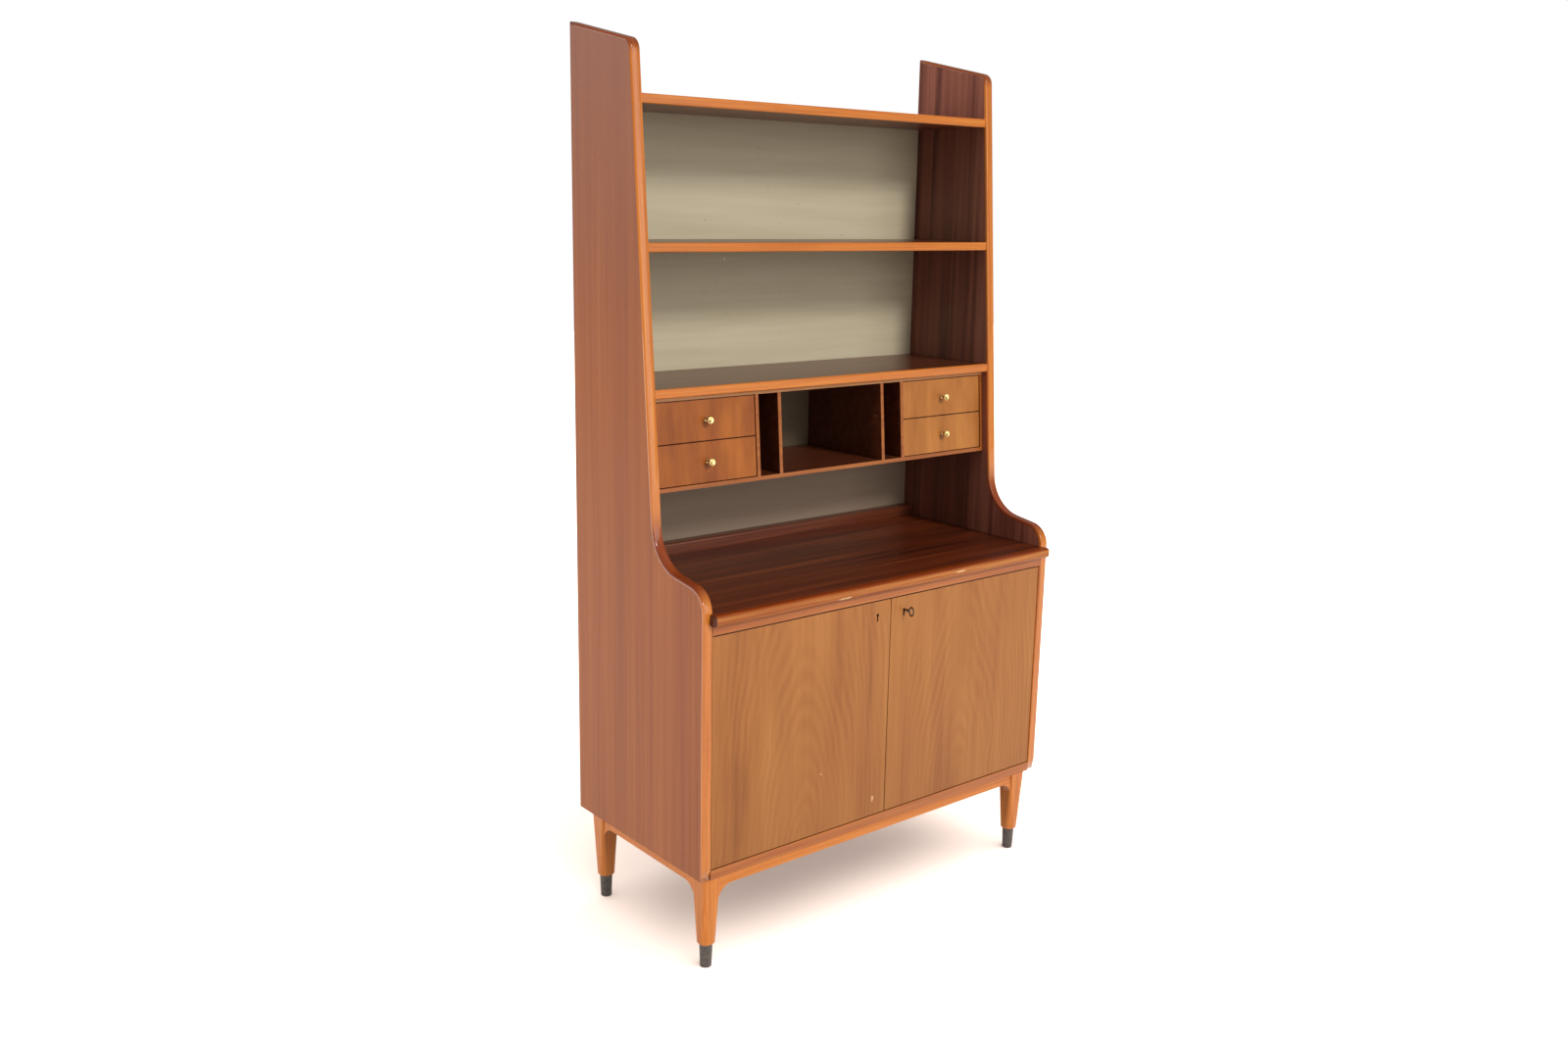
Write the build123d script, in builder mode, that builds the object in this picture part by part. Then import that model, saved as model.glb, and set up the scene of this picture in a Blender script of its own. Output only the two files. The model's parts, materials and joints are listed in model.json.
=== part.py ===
from build123d import *
from math import acos, atan, atan2, cos, degrees, hypot, radians, sin, sqrt, tan
import os

# Secretary desk: a bookcase with slanted sides over a pull-out writing board and a two-door cupboard.
# Frame: +Z up, front faces -Y, origin on the floor in the middle of the overall box.

# ---- Overall sizes (mm) ----
overall_width = 950.0
overall_height = 1800.0
overall_depth = 472.5  # back plane to the tip of the key
panel_depth = 445.0
panel_thickness = 20.5
carcass_bottom = 200.0
board_gap = 0.4  # play round every sliding or turning wooden piece

# ---- Outline of the side panels ----
edge_forward = 278.0  # slanted front edge: distance from the back, at the height below
edge_height = 880.0
edge_lean = 0.0788  # back per mm of height
top_slope = 12.1  # degrees, falling to the front
top_corner_radius = 25.0
foot_corner_radius = 5.5
nose_radius = 47.5
nose_height = 732.0
scoop_radius = 88.0
scoop_height = 873.5
lipping_depth = 6.0
lipping_round = 3.0
line_tolerance = 1.0  # picks edges clear of the back and bottom planes

# ---- Shelves and back ----
shelf_thickness = 18.0
shelf_tops = {"top": 1661.0, "middle": 1394.0, "lower": 1123.0}
shelf_setback = 3.0
shelf_lipping = 6.0
back_inset = 0.5
back_thickness = 3.0
nail_head_radius = 2.5
nail_heights = (210.0, 699.0, 719.0, 1114.0, 1385.0, 1652.0)
nail_spacing = 180.0
nails_in_row = 6

# ---- Cupboard ----
cabinet_board = 20.0
cabinet_top_height = 709.0
inner_shelf_height = 452.0
inner_shelf_setback = 55.0
pin_radius = 2.5
pin_embed = 8.0
pin_reach = 10.0
pin_distances = (70.0, 330.0)  # from the back
inner_shelf_play = 1.0
bottom_setback = 1.0
board_edge_round = 1.0
stop_length = 180.0
stop_section = 12.0
stop_x = 220.0

# ---- Writing board ----
writing_height = 732.0
writing_reach = 20.0  # the lipping stands this far in front of the panels
writing_overlap = 6.5  # the lipping covers this much of each panel edge
writing_rear = 30.0
tongue_depth = 6.0
tongue_height = 8.0
tongue_length = 190.0
tongue_drop = 15.0
groove_front = 430.0
batten_thickness = 26.0
batten_height = 23.5
batten_round = 5.0
nosing_top_round = 6.0
nosing_low_round = 9.0

# ---- Hanging unit with pigeonholes and drawers ----
unit_bottom = 923.5
unit_board = 8.0
unit_setback = 20.0
divider_centres = (142.0, 200.0)
dust_board = 4.0
front_inset = 1.5
front_thickness = 14.0
drawer_gap = 1.3
drawer_wall = 8.0
drawer_bottom = 3.0
drawer_floor = 4.0
groove_bite = 3.0
groove_play = 0.1
drawer_rear_gap = 6.0
drawer_edge_round = 0.8
box_play = 0.6
front_joint_gap = 1.0  # between a drawer front and the dust board behind it
knob_reach = 16.5
knob_waist = 6.5
peg_radius = 2.0
peg_reach = 7.0
peg_setback = 22.0
peg_lift = 12.0  # above the middle of the pigeonhole

# ---- Doors, pivots, locks and key ----
door_thickness = 18.0
door_setback = 2.5
door_gap = 1.0
door_top_gap = 2.2
door_side_gap = 0.75
door_corner_round = 2.5
door_edge_round = 0.7
pivot_inset = 4.0  # pin axis from the door's face and from its edge
pivot_pin_radius = 2.0
pivot_clearance = 0.05
pivot_plate = 2.0
pivot_plate_length = 42.0
pivot_plate_width = 10.0
pivot_pin_length = 8.0
pivot_hole_play = 0.4
pivot_plate_margin = 1.0  # from the door's face and from its edge
lock_x = 37.0
keyhole_height = 657.0
keyhole_radius = 3.2
keyhole_slot = 3.4
keyhole_drop = 13.5
lock_half_width = 22.0
lock_depth = 14.0
lock_height = 55.0
lock_wall = 1.5
bolt_half_width = 8.0
bolt_thickness = 5.0
bolt_length = 25.0
bolt_travel = 8.0
bolt_margin = 2.0  # between the door and the bolt, beyond half the case's depth
mortise_play = 1.5
key_shaft_radius = 2.2
key_collar_radius = 3.4
key_collar_length = 4.0
key_collar_gap = 2.0
key_bit_thickness = 2.2
key_bit_width = 3.6
key_bit_height = 8.0
key_bit_setback = 2.4
bow_height = 21.0
bow_length = 16.0
bow_thickness = 2.6
bow_hole = 0.58  # hole to outside, as a ratio

# ---- Base ----
leg_x = 439.0
leg_front = 409.0
leg_back = 43.0
leg_width = 41.0
ankle_width = 34.5
ankle_height = 50.0
ankle_round = 3.5
leg_top_round = 2.5
ankle_flat = 1.5  # half the flat left in each face of the ankle
ferrule_radius = 13.4
ferrule_tip_radius = 11.5
ferrule_wall = 1.2
ferrule_foot_round = 1.5
rail_drop = 30.0
rail_thickness = 20.0
rail_setback = 4.5
rail_arc_radius = 32.0
rail_arc_sweep = 72.0
rail_embed = 1.0

# ---- Derived places ----
back_y = overall_depth / 2
half_width = overall_width / 2
inner_x = half_width - panel_thickness
front_y = back_y - panel_depth
sheet_y = back_y - back_inset - back_thickness
sides = {"left": -1, "right": 1}


def forward(distance):
    """Y at a distance in front of the back plane."""
    return back_y - distance


def edge_y(height):
    """Y of the side panels' slanted front edge at a height."""
    return forward(edge_forward) + edge_lean * (height - edge_height)


def save(piece, label):
    """Label a finished piece and write it to its own file."""
    piece.part.label = label
    export_step(piece.part, f"parts/{label}.step")


def slab(x_range, y_range, z_range):
    """A straight board between three pairs of limits."""
    with BuildPart() as piece:
        with BuildSketch(Plane.XY.offset(z_range[0])):
            with Locations((sum(x_range) / 2, sum(y_range) / 2)):
                Rectangle(abs(x_range[1] - x_range[0]), abs(y_range[1] - y_range[0]))
        extrude(amount=z_range[1] - z_range[0])
    return piece


def side_face(margin=0.0):
    """Outline of a side panel; margin pushes its back and bottom edges outwards."""
    nose_y = front_y + nose_radius
    scoop_y = edge_y(scoop_height) - scoop_radius * sqrt(1 + edge_lean**2)
    run = nose_y - scoop_y
    fall = scoop_height - nose_height
    slope = degrees(acos((scoop_radius + nose_radius) / hypot(run, fall)) - atan2(-run, fall))
    lean = degrees(atan(edge_lean))
    top_fall = tan(radians(top_slope))
    # where the slanted front edge meets the sloping top edge
    corner_y = (edge_y(overall_height) - edge_lean * top_fall * back_y) / (1 - edge_lean * top_fall)
    corner_z = overall_height - top_fall * (back_y - corner_y)
    back_edge = back_y + margin
    bottom_edge = carcass_bottom - margin
    with BuildSketch() as face:
        with BuildLine():
            nose = CenterArc((nose_y, nose_height), nose_radius, 180, slope - 90)
            scoop = CenterArc((scoop_y, scoop_height), scoop_radius, 270 + slope, 90 - slope - lean)
            Line(nose @ 1, scoop @ 0)
            Polyline(
                scoop @ 1,
                (corner_y, corner_z),
                (back_edge, overall_height + top_fall * margin),
                (back_edge, bottom_edge),
                (front_y, bottom_edge),
                nose @ 0,
            )
        make_face()
        fillet(face.vertices().sort_by(Axis.Y)[-2:].sort_by(Axis.X)[0], top_corner_radius)
        fillet(face.vertices().sort_by(Axis.Y)[:2].sort_by(Axis.X)[0], foot_corner_radius)
    return face.sketch


def core_face():
    """Outline of a side panel without its lipping."""
    with BuildSketch() as face:
        add(side_face(lipping_depth))
        offset(amount=-lipping_depth, kind=Kind.INTERSECTION)
    return face.sketch


def side_panel(side):
    """Veneered core: a long groove for the writing board and two blind holes for shelf pins."""
    low_x = min(side * inner_x, side * half_width)
    groove_middle = writing_height - tongue_drop
    groove_width = 2 * (tongue_depth + 2 * board_gap)
    with BuildPart() as piece:
        with BuildSketch(Plane.YZ.offset(low_x)):
            add(core_face())
        extrude(amount=panel_thickness)
        with BuildSketch(Plane.XY.offset(groove_middle - tongue_height / 2 - board_gap)):
            with Locations((side * inner_x, (forward(writing_rear) + forward(groove_front)) / 2)):
                Rectangle(groove_width, groove_front - writing_rear)
        extrude(amount=tongue_height + 2 * board_gap, mode=Mode.SUBTRACT)
        with BuildSketch(Plane.YZ.offset(side * inner_x)):
            with Locations(*pin_places()):
                Circle(pin_radius)
        extrude(amount=side * pin_embed, mode=Mode.SUBTRACT)
    return piece


def side_lipping(side):
    """Solid wood edge round the front and top of a side panel, with rounded arrises."""
    low_x = min(side * inner_x, side * half_width)
    with BuildPart() as piece:
        with BuildSketch(Plane.YZ.offset(low_x)):
            add(side_face())
        extrude(amount=panel_thickness)
        outline = piece.faces().filter_by(Axis.X).edges()
        clear_y = back_y - line_tolerance
        clear_z = carcass_bottom + line_tolerance
        arris = [e for e in outline if e.center().Y < clear_y and e.center().Z > clear_z]
        fillet(arris, lipping_round)
        with BuildSketch(Plane.YZ.offset(low_x)):
            add(core_face())
        extrude(amount=panel_thickness, mode=Mode.SUBTRACT)
    return piece


def pin_places():
    """Y and Z of the shelf pins in each side panel."""
    pin_z = inner_shelf_height - pin_radius
    return [(forward(distance), pin_z) for distance in pin_distances]


def slanted_slab(x_range, z_range, setback, rear_y):
    """A board whose front end is cut parallel to the side panels' slanted edge."""
    with BuildPart() as piece:
        with BuildSketch(Plane.YZ.offset(x_range[0])):
            with BuildLine():
                Polyline(
                    (rear_y, z_range[0]),
                    (edge_y(z_range[0]) + setback, z_range[0]),
                    (edge_y(z_range[1]) + setback, z_range[1]),
                    (rear_y, z_range[1]),
                    close=True,
                )
            make_face()
        extrude(amount=x_range[1] - x_range[0])
    return piece


os.makedirs("parts", exist_ok=True)

# ---- Side panels and their lippings ----
for side_name, side in sides.items():
    save(side_panel(side), f"side_panel_{side_name}")
    save(side_lipping(side), f"side_lipping_{side_name}")

# ---- Bookshelves: veneered board and rounded solid lipping ----
for shelf_name, shelf_top in shelf_tops.items():
    shelf_z = (shelf_top - shelf_thickness, shelf_top)
    shelf_front = edge_y(shelf_top - shelf_thickness / 2) + shelf_setback
    joint_y = shelf_front + shelf_lipping
    save(slab((-inner_x, inner_x), (joint_y, sheet_y), shelf_z), f"shelf_{shelf_name}")
    with BuildPart() as shelf_lip:
        with BuildSketch(Plane.XY.offset(shelf_z[0])):
            with Locations((0, (shelf_front + joint_y) / 2)):
                Rectangle(2 * inner_x, shelf_lipping)
        extrude(amount=shelf_thickness)
        fillet(shelf_lip.faces().sort_by(Axis.Y)[0].edges().filter_by(Axis.X), lipping_round)
    save(shelf_lip, f"shelf_lipping_{shelf_name}")

# ---- Back sheets, nail heads and the batten behind the writing board ----
sheet_range = (sheet_y, sheet_y + back_thickness)
save(slab((-inner_x, inner_x), sheet_range, (cabinet_top_height, shelf_tops["top"])), "back_sheet_upper")
save(slab((-inner_x, inner_x), sheet_range, (carcass_bottom, cabinet_top_height)), "back_sheet_lower")

with BuildPart() as back_sheet_nails:
    with BuildSketch(Plane.XZ.offset(-sheet_range[1])):
        for nail_height in nail_heights:
            with Locations((0, nail_height)):
                with GridLocations(nail_spacing, 1, nails_in_row, 1):
                    Circle(nail_head_radius)
    extrude(amount=-back_inset)
save(back_sheet_nails, "back_sheet_nails")

with BuildPart() as writing_batten:
    with BuildSketch(Plane.XY.offset(writing_height + board_gap)):
        with Locations((0, sheet_y - batten_thickness / 2)):
            Rectangle(2 * inner_x, batten_thickness)
    extrude(amount=batten_height)
    batten_edges = writing_batten.edges().filter_by(Axis.X).sort_by(Axis.Y)[:2]
    fillet(batten_edges.sort_by(Axis.Z)[-1], batten_round)
save(writing_batten, "writing_batten")

# ---- Writing board: veneered board with side tongues, and its lipping ----
writing_bottom = cabinet_top_height + board_gap
board_half = inner_x - board_gap
tongue_middle = writing_height - tongue_drop
with BuildPart() as writing_board:
    with BuildSketch(Plane.XY.offset(writing_bottom)):
        with Locations((0, (forward(writing_rear) + front_y) / 2)):
            Rectangle(2 * board_half, panel_depth - writing_rear)
    extrude(amount=writing_height - writing_bottom)
    with BuildSketch(Plane.XY.offset(tongue_middle - tongue_height / 2)):
        with Locations((0, forward(writing_rear + tongue_length / 2 + board_gap))):
            Rectangle(2 * (board_half + tongue_depth), tongue_length)
    extrude(amount=tongue_height)
save(writing_board, "writing_board")

with BuildPart() as writing_lipping:
    with BuildSketch(Plane.XY.offset(writing_bottom)):
        with Locations((0, front_y - (writing_reach + board_gap) / 2)):
            Rectangle(2 * (inner_x + writing_overlap), writing_reach - board_gap)
        with Locations((0, front_y - board_gap / 2)):
            Rectangle(2 * board_half, board_gap)
    extrude(amount=writing_height - writing_bottom)
    nosing = writing_lipping.faces().sort_by(Axis.Y)[0].edges().filter_by(Axis.X)
    fillet(nosing.sort_by(Axis.Z)[-1], nosing_top_round)
    nosing = writing_lipping.faces().sort_by(Axis.Y)[0].edges().filter_by(Axis.X)
    fillet(nosing.sort_by(Axis.Z)[0], nosing_low_round)
save(writing_lipping, "writing_lipping")

# ---- Cupboard boards ----
cabinet_top_z = (cabinet_top_height - cabinet_board, cabinet_top_height)
door_face_y = front_y + door_setback
door_back_y = door_face_y + door_thickness
pivot_x = inner_x - door_side_gap - pivot_inset
pivot_y = door_face_y + pivot_inset
bolt_y = door_back_y + lock_depth / 2 + bolt_margin


def plate_sketch(side):
    """Slim pivot plate seen from above, with the pin near its outer front corner."""
    edge_gap = pivot_inset - pivot_plate_margin
    with BuildSketch() as outline:
        middle_x = side * (pivot_x + edge_gap - pivot_plate_length / 2)
        with Locations((middle_x, pivot_y - edge_gap + pivot_plate_width / 2)):
            Rectangle(pivot_plate_length, pivot_plate_width)
    return outline.sketch


with BuildPart() as cabinet_top:
    with BuildSketch(Plane.XY.offset(cabinet_top_z[0])):
        with Locations((0, (front_y + sheet_y) / 2)):
            Rectangle(2 * inner_x, sheet_y - front_y)
    extrude(amount=cabinet_board)
    lower_front = cabinet_top.faces().sort_by(Axis.Y)[0].edges().filter_by(Axis.X).sort_by(Axis.Z)[0]
    fillet(lower_front, board_edge_round)
    # recesses for the fixed pivot plates and mortises for the lock bolts
    with BuildSketch(Plane.XY.offset(cabinet_top_z[0])):
        for side in sides.values():
            add(plate_sketch(side))
    extrude(amount=pivot_plate, mode=Mode.SUBTRACT)
    with BuildSketch(Plane.XY.offset(cabinet_top_z[0])):
        with Locations((-lock_x, bolt_y), (lock_x, bolt_y)):
            Rectangle(2 * (bolt_half_width + mortise_play), bolt_thickness + 2 * mortise_play)
    extrude(amount=bolt_travel + mortise_play, mode=Mode.SUBTRACT)
save(cabinet_top, "cabinet_top")

with BuildPart() as cabinet_bottom:
    with BuildSketch(Plane.XY.offset(carcass_bottom)):
        with Locations((0, (front_y + bottom_setback + sheet_y) / 2)):
            Rectangle(2 * inner_x, sheet_y - front_y - bottom_setback)
    extrude(amount=cabinet_board)
    upper_front = cabinet_bottom.faces().sort_by(Axis.Y)[0].edges().filter_by(Axis.X).sort_by(Axis.Z)[-1]
    fillet(upper_front, board_edge_round)
    with BuildSketch(Plane.XY.offset(carcass_bottom + cabinet_board - pivot_plate)):
        for side in sides.values():
            add(plate_sketch(side))
    extrude(amount=pivot_plate, mode=Mode.SUBTRACT)
save(cabinet_bottom, "cabinet_bottom")

inner_shelf = slab(
    (-inner_x + inner_shelf_play, inner_x - inner_shelf_play),
    (forward(panel_depth - inner_shelf_setback), sheet_y - inner_shelf_play),
    (inner_shelf_height, inner_shelf_height + shelf_thickness),
)
save(inner_shelf, "cabinet_shelf")

with BuildPart() as cabinet_shelf_pins:
    for side in sides.values():
        with BuildSketch(Plane.YZ.offset(side * (inner_x + pin_embed))):
            with Locations(*pin_places()):
                Circle(pin_radius)
        extrude(amount=-side * (pin_embed + pin_reach))
save(cabinet_shelf_pins, "cabinet_shelf_pins")

with BuildPart() as door_stops:
    stop_y = door_back_y + board_gap + stop_section / 2
    with BuildSketch(Plane.XY.offset(cabinet_top_z[0] - stop_section)):
        with Locations((-stop_x, stop_y), (stop_x, stop_y)):
            Rectangle(stop_length, stop_section)
    extrude(amount=stop_section)
save(door_stops, "door_stops")

# ---- Hanging unit: top, bottom, ends, dividers, dust boards and pegs ----
unit_top = shelf_tops["lower"] - shelf_thickness
inside_z = (unit_bottom + unit_board, unit_top - unit_board)
full_x = (-inner_x, inner_x)
peg_place = (edge_y(unit_bottom) + unit_setback + peg_setback, sum(inside_z) / 2 + peg_lift)
save(slanted_slab(full_x, (inside_z[1], unit_top), unit_setback, sheet_y), "unit_top")
save(slanted_slab(full_x, (unit_bottom, inside_z[0]), unit_setback, sheet_y), "unit_bottom")

with BuildPart() as unit_ends:
    for side in sides.values():
        end_x = sorted((side * inner_x, side * (inner_x - unit_board)))
        add(slanted_slab(end_x, inside_z, unit_setback, sheet_y).part)
save(unit_ends, "unit_ends")

for row_label, centre in zip(("inner", "outer"), divider_centres):
    with BuildPart() as dividers:
        for side in sides.values():
            faces_x = (side * centre - unit_board / 2, side * centre + unit_board / 2)
            add(slanted_slab(faces_x, inside_z, unit_setback, sheet_y).part)
        # blind holes for the shelf pegs in the pair beside the middle opening
        if row_label == "inner":
            for side in sides.values():
                with BuildSketch(Plane.YZ.offset(side * (centre - unit_board / 2))):
                    with Locations(peg_place):
                        Circle(peg_radius)
                extrude(amount=side * unit_board / 2, mode=Mode.SUBTRACT)
    save(dividers, f"dividers_{row_label}")

with BuildPart() as shelf_pegs:
    for side in sides.values():
        with BuildSketch(Plane.YZ.offset(side * divider_centres[0])):
            with Locations(peg_place):
                Circle(peg_radius)
        extrude(amount=-side * (unit_board / 2 + peg_reach))
save(shelf_pegs, "pigeonhole_pegs")

stack_x = (divider_centres[1] + unit_board / 2, inner_x - unit_board)
split_z = sum(inside_z) / 2
dust_z = (split_z - dust_board / 2, split_z + dust_board / 2)
dust_setback = unit_setback + front_inset + front_thickness + front_joint_gap
with BuildPart() as dust_boards:
    for side in sides.values():
        dust_x = sorted((side * stack_x[0], side * stack_x[1]))
        add(slanted_slab(dust_x, dust_z, dust_setback, sheet_y).part)
save(dust_boards, "dust_boards")


# ---- Drawers ----
def drawer_front(x_range, z_range):
    """Slanted front board with its four front edges eased."""
    slant = unit_setback + front_inset
    with BuildPart() as piece:
        with BuildSketch(Plane.YZ.offset(x_range[0])):
            with BuildLine():
                Polyline(
                    (edge_y(z_range[0]) + slant, z_range[0]),
                    (edge_y(z_range[1]) + slant, z_range[1]),
                    (edge_y(z_range[1]) + slant + front_thickness, z_range[1]),
                    (edge_y(z_range[0]) + slant + front_thickness, z_range[0]),
                    close=True,
                )
            make_face()
        extrude(amount=x_range[1] - x_range[0])
        fillet(piece.faces().sort_by(Axis.Y)[0].edges(), drawer_edge_round)
    return piece


def drawer_box(x_range, z_range):
    """Jointed sides and back, and a thin bottom that lies loose in grooves in them."""
    slant = unit_setback + front_inset + front_thickness
    rear = sheet_y - drawer_rear_gap
    low = z_range[0] + drawer_floor
    inner = (x_range[0] + drawer_wall, x_range[1] - drawer_wall)
    in_groove = (inner[0] - groove_bite, inner[1] + groove_bite)
    groove_x = (in_groove[0] - groove_play, in_groove[1] + groove_play)
    groove_z = (low - groove_play, low + drawer_bottom + groove_play)
    with BuildPart() as piece:
        add(slanted_slab((x_range[0], inner[0]), z_range, slant, rear).part)
        add(slanted_slab((inner[1], x_range[1]), z_range, slant, rear).part)
        add(slab(inner, (rear - drawer_wall, rear), z_range).part)
        groove = slanted_slab(groove_x, groove_z, slant, rear - drawer_wall + groove_bite + groove_play)
        add(groove.part, mode=Mode.SUBTRACT)
        floor_z = (low, low + drawer_bottom)
        add(slanted_slab(in_groove, floor_z, slant + groove_play, rear - drawer_wall + groove_bite).part)
    return piece


def drawer_knob(x, z):
    """Turned brass knob: collar, thin neck and a flared head with a dished face."""
    face = Plane(
        origin=(x, edge_y(z) + unit_setback + front_inset, z),
        x_dir=(1, 0, 0),
        z_dir=(0, -cos(atan(edge_lean)), sin(atan(edge_lean))),
    )
    with BuildPart(face) as piece:
        with BuildSketch(Plane(origin=face.origin, x_dir=face.z_dir, z_dir=face.y_dir)):
            with BuildLine():
                Polyline((0, 0), (0, 4.4), (1.6, 4.4), (2.4, 2.8))
                Spline((2.4, 2.8), (knob_waist, 2.9), (knob_reach - 4, 6.6), tangents=((1, 0), (1, 1.1)))
                Line((knob_reach - 4, 6.6), (knob_reach - 3, 7.4))
                ThreePointArc((knob_reach - 3, 7.4), (knob_reach - 1.6, 7.7), (knob_reach - 0.3, 7.0))
                Spline((knob_reach - 0.3, 7.0), (knob_reach - 0.9, 3.2), (knob_reach - 0.2, 1.3))
                Polyline((knob_reach - 0.2, 1.3), (knob_reach, 0.6), (knob_reach, 0), (0, 0))
            make_face()
        revolve(axis=Axis(face.origin, face.z_dir))
    return piece


front_half = (stack_x[1] - stack_x[0]) / 2 - drawer_gap
stack_middle = sum(stack_x) / 2
front_rows = {
    "lower": (inside_z[0] + drawer_gap, split_z - drawer_gap / 2),
    "upper": (split_z + drawer_gap / 2, inside_z[1] - drawer_gap),
}
box_rows = {
    "lower": (inside_z[0] + box_play, dust_z[0] - box_play),
    "upper": (dust_z[1] + box_play, inside_z[1] - box_play),
}
for side_name, side in sides.items():
    for row_name, front_row in front_rows.items():
        label = f"drawer_{row_name}_{side_name}"
        middle = side * stack_middle
        drawer_x = (middle - front_half, middle + front_half)
        save(drawer_front(drawer_x, front_row), f"{label}_front")
        save(drawer_box(drawer_x, box_rows[row_name]), f"{label}_box")
        save(drawer_knob(middle, sum(front_row) / 2), f"{label}_knob")

# ---- Doors and their pivot hinges ----
door_z = (carcass_bottom + cabinet_board + door_gap, cabinet_top_z[0] - door_top_gap)
door_outer_x = inner_x - door_side_gap


def keyhole_cut(side):
    """Keyhole seen from the front: a round hole over a slot."""
    with BuildSketch() as hole:
        with Locations((side * lock_x, keyhole_height)):
            Circle(keyhole_radius)
        with Locations((side * lock_x, keyhole_height - keyhole_drop / 2)):
            Rectangle(keyhole_slot, keyhole_drop)
    return hole.sketch


for side_name, side in sides.items():
    with BuildPart() as door:
        with BuildSketch(Plane.XY.offset(door_z[0])):
            with Locations((side * (door_outer_x + door_side_gap) / 2, (door_face_y + door_back_y) / 2)):
                Rectangle(door_outer_x - door_side_gap, door_thickness)
        extrude(amount=door_z[1] - door_z[0])
        corner = door.edges().filter_by(Axis.Z).sort_by(Axis.Y)[:2].sort_by(Axis.X)
        fillet(corner[0] if side < 0 else corner[-1], door_corner_round)
        face_edges = door.faces().sort_by(Axis.Y)[0].edges()
        fillet([e for e in face_edges if abs(e.center().X) < pivot_x], door_edge_round)
        with BuildSketch(Plane.XZ.offset(-door_face_y)):
            add(keyhole_cut(side))
        extrude(amount=-door_thickness, mode=Mode.SUBTRACT)
        # recesses for the two plates, and deeper holes for the ends of the pins
        with BuildSketch(Plane.XY.offset(door_z[0])):
            add(plate_sketch(side))
        extrude(amount=pivot_plate, mode=Mode.SUBTRACT)
        with BuildSketch(Plane.XY.offset(door_z[1] - pivot_plate)):
            add(plate_sketch(side))
        extrude(amount=pivot_plate, mode=Mode.SUBTRACT)
        with BuildSketch(Plane.XY.offset(door_z[0])):
            with Locations((side * pivot_x, pivot_y)):
                Circle(pivot_pin_radius + pivot_hole_play)
        extrude(amount=pivot_pin_length + 1, mode=Mode.SUBTRACT)
        with BuildSketch(Plane.XY.offset(door_z[1] - pivot_pin_length - 1)):
            with Locations((side * pivot_x, pivot_y)):
                Circle(pivot_pin_radius + pivot_hole_play)
        extrude(amount=pivot_pin_length + 1, mode=Mode.SUBTRACT)
    save(door, f"door_{side_name}")

    with BuildPart() as door_plates:
        for level, rise in ((door_z[0], pivot_plate), (door_z[1], -pivot_plate)):
            with BuildSketch(Plane.XY.offset(level)):
                add(plate_sketch(side))
                with Locations((side * pivot_x, pivot_y)):
                    Circle(pivot_pin_radius + pivot_clearance, mode=Mode.SUBTRACT)
            extrude(amount=rise)
    save(door_plates, f"door_{side_name}_pivot_plates")

with BuildPart() as fixed_pivots:
    for side in sides.values():
        for level, rise in ((cabinet_top_z[0], 1), (carcass_bottom + cabinet_board, -1)):
            with BuildSketch(Plane.XY.offset(level)):
                add(plate_sketch(side))
            extrude(amount=rise * pivot_plate)
            with BuildSketch(Plane.XY.offset(level)):
                with Locations((side * pivot_x, pivot_y)):
                    Circle(pivot_pin_radius)
            extrude(amount=-rise * (pivot_pin_length + door_gap))
save(fixed_pivots, "fixed_pivot_plates")

# ---- Locks: case on the back of each door, a bolt that rises into the fixed top, and one key ----
lock_top = door_z[1] - 1
bolt_z = (lock_top - bolt_length, lock_top)
for side_name, side in sides.items():
    with BuildPart() as lock_case:
        with BuildSketch(Plane.XY.offset(lock_top - lock_height)):
            with Locations((side * lock_x, door_back_y + lock_depth / 2)):
                Rectangle(2 * lock_half_width, lock_depth)
        extrude(amount=lock_height)
        with BuildSketch(Plane.XY.offset(lock_top - lock_height + lock_wall)):
            with Locations((side * lock_x, door_back_y + (lock_depth - lock_wall) / 2)):
                Rectangle(2 * (lock_half_width - lock_wall), lock_depth - lock_wall)
        extrude(amount=lock_height - 2 * lock_wall, mode=Mode.SUBTRACT)
        with BuildSketch(Plane.XY.offset(lock_top - lock_wall)):
            with Locations((side * lock_x, bolt_y)):
                Rectangle(2 * bolt_half_width + 2 * board_gap, bolt_thickness + 2 * board_gap)
        extrude(amount=lock_wall, mode=Mode.SUBTRACT)
        with BuildSketch(Plane.XZ.offset(-door_back_y)):
            with Locations((side * lock_x, keyhole_height)):
                Circle(key_shaft_radius + pivot_clearance)
        extrude(amount=-lock_depth, mode=Mode.SUBTRACT)
    save(lock_case, f"lock_case_{side_name}")

    bolt_x = (side * lock_x - bolt_half_width, side * lock_x + bolt_half_width)
    bolt_faces = (bolt_y - bolt_thickness / 2, bolt_y + bolt_thickness / 2)
    save(slab(bolt_x, bolt_faces, bolt_z), f"lock_bolt_{side_name}")

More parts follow.
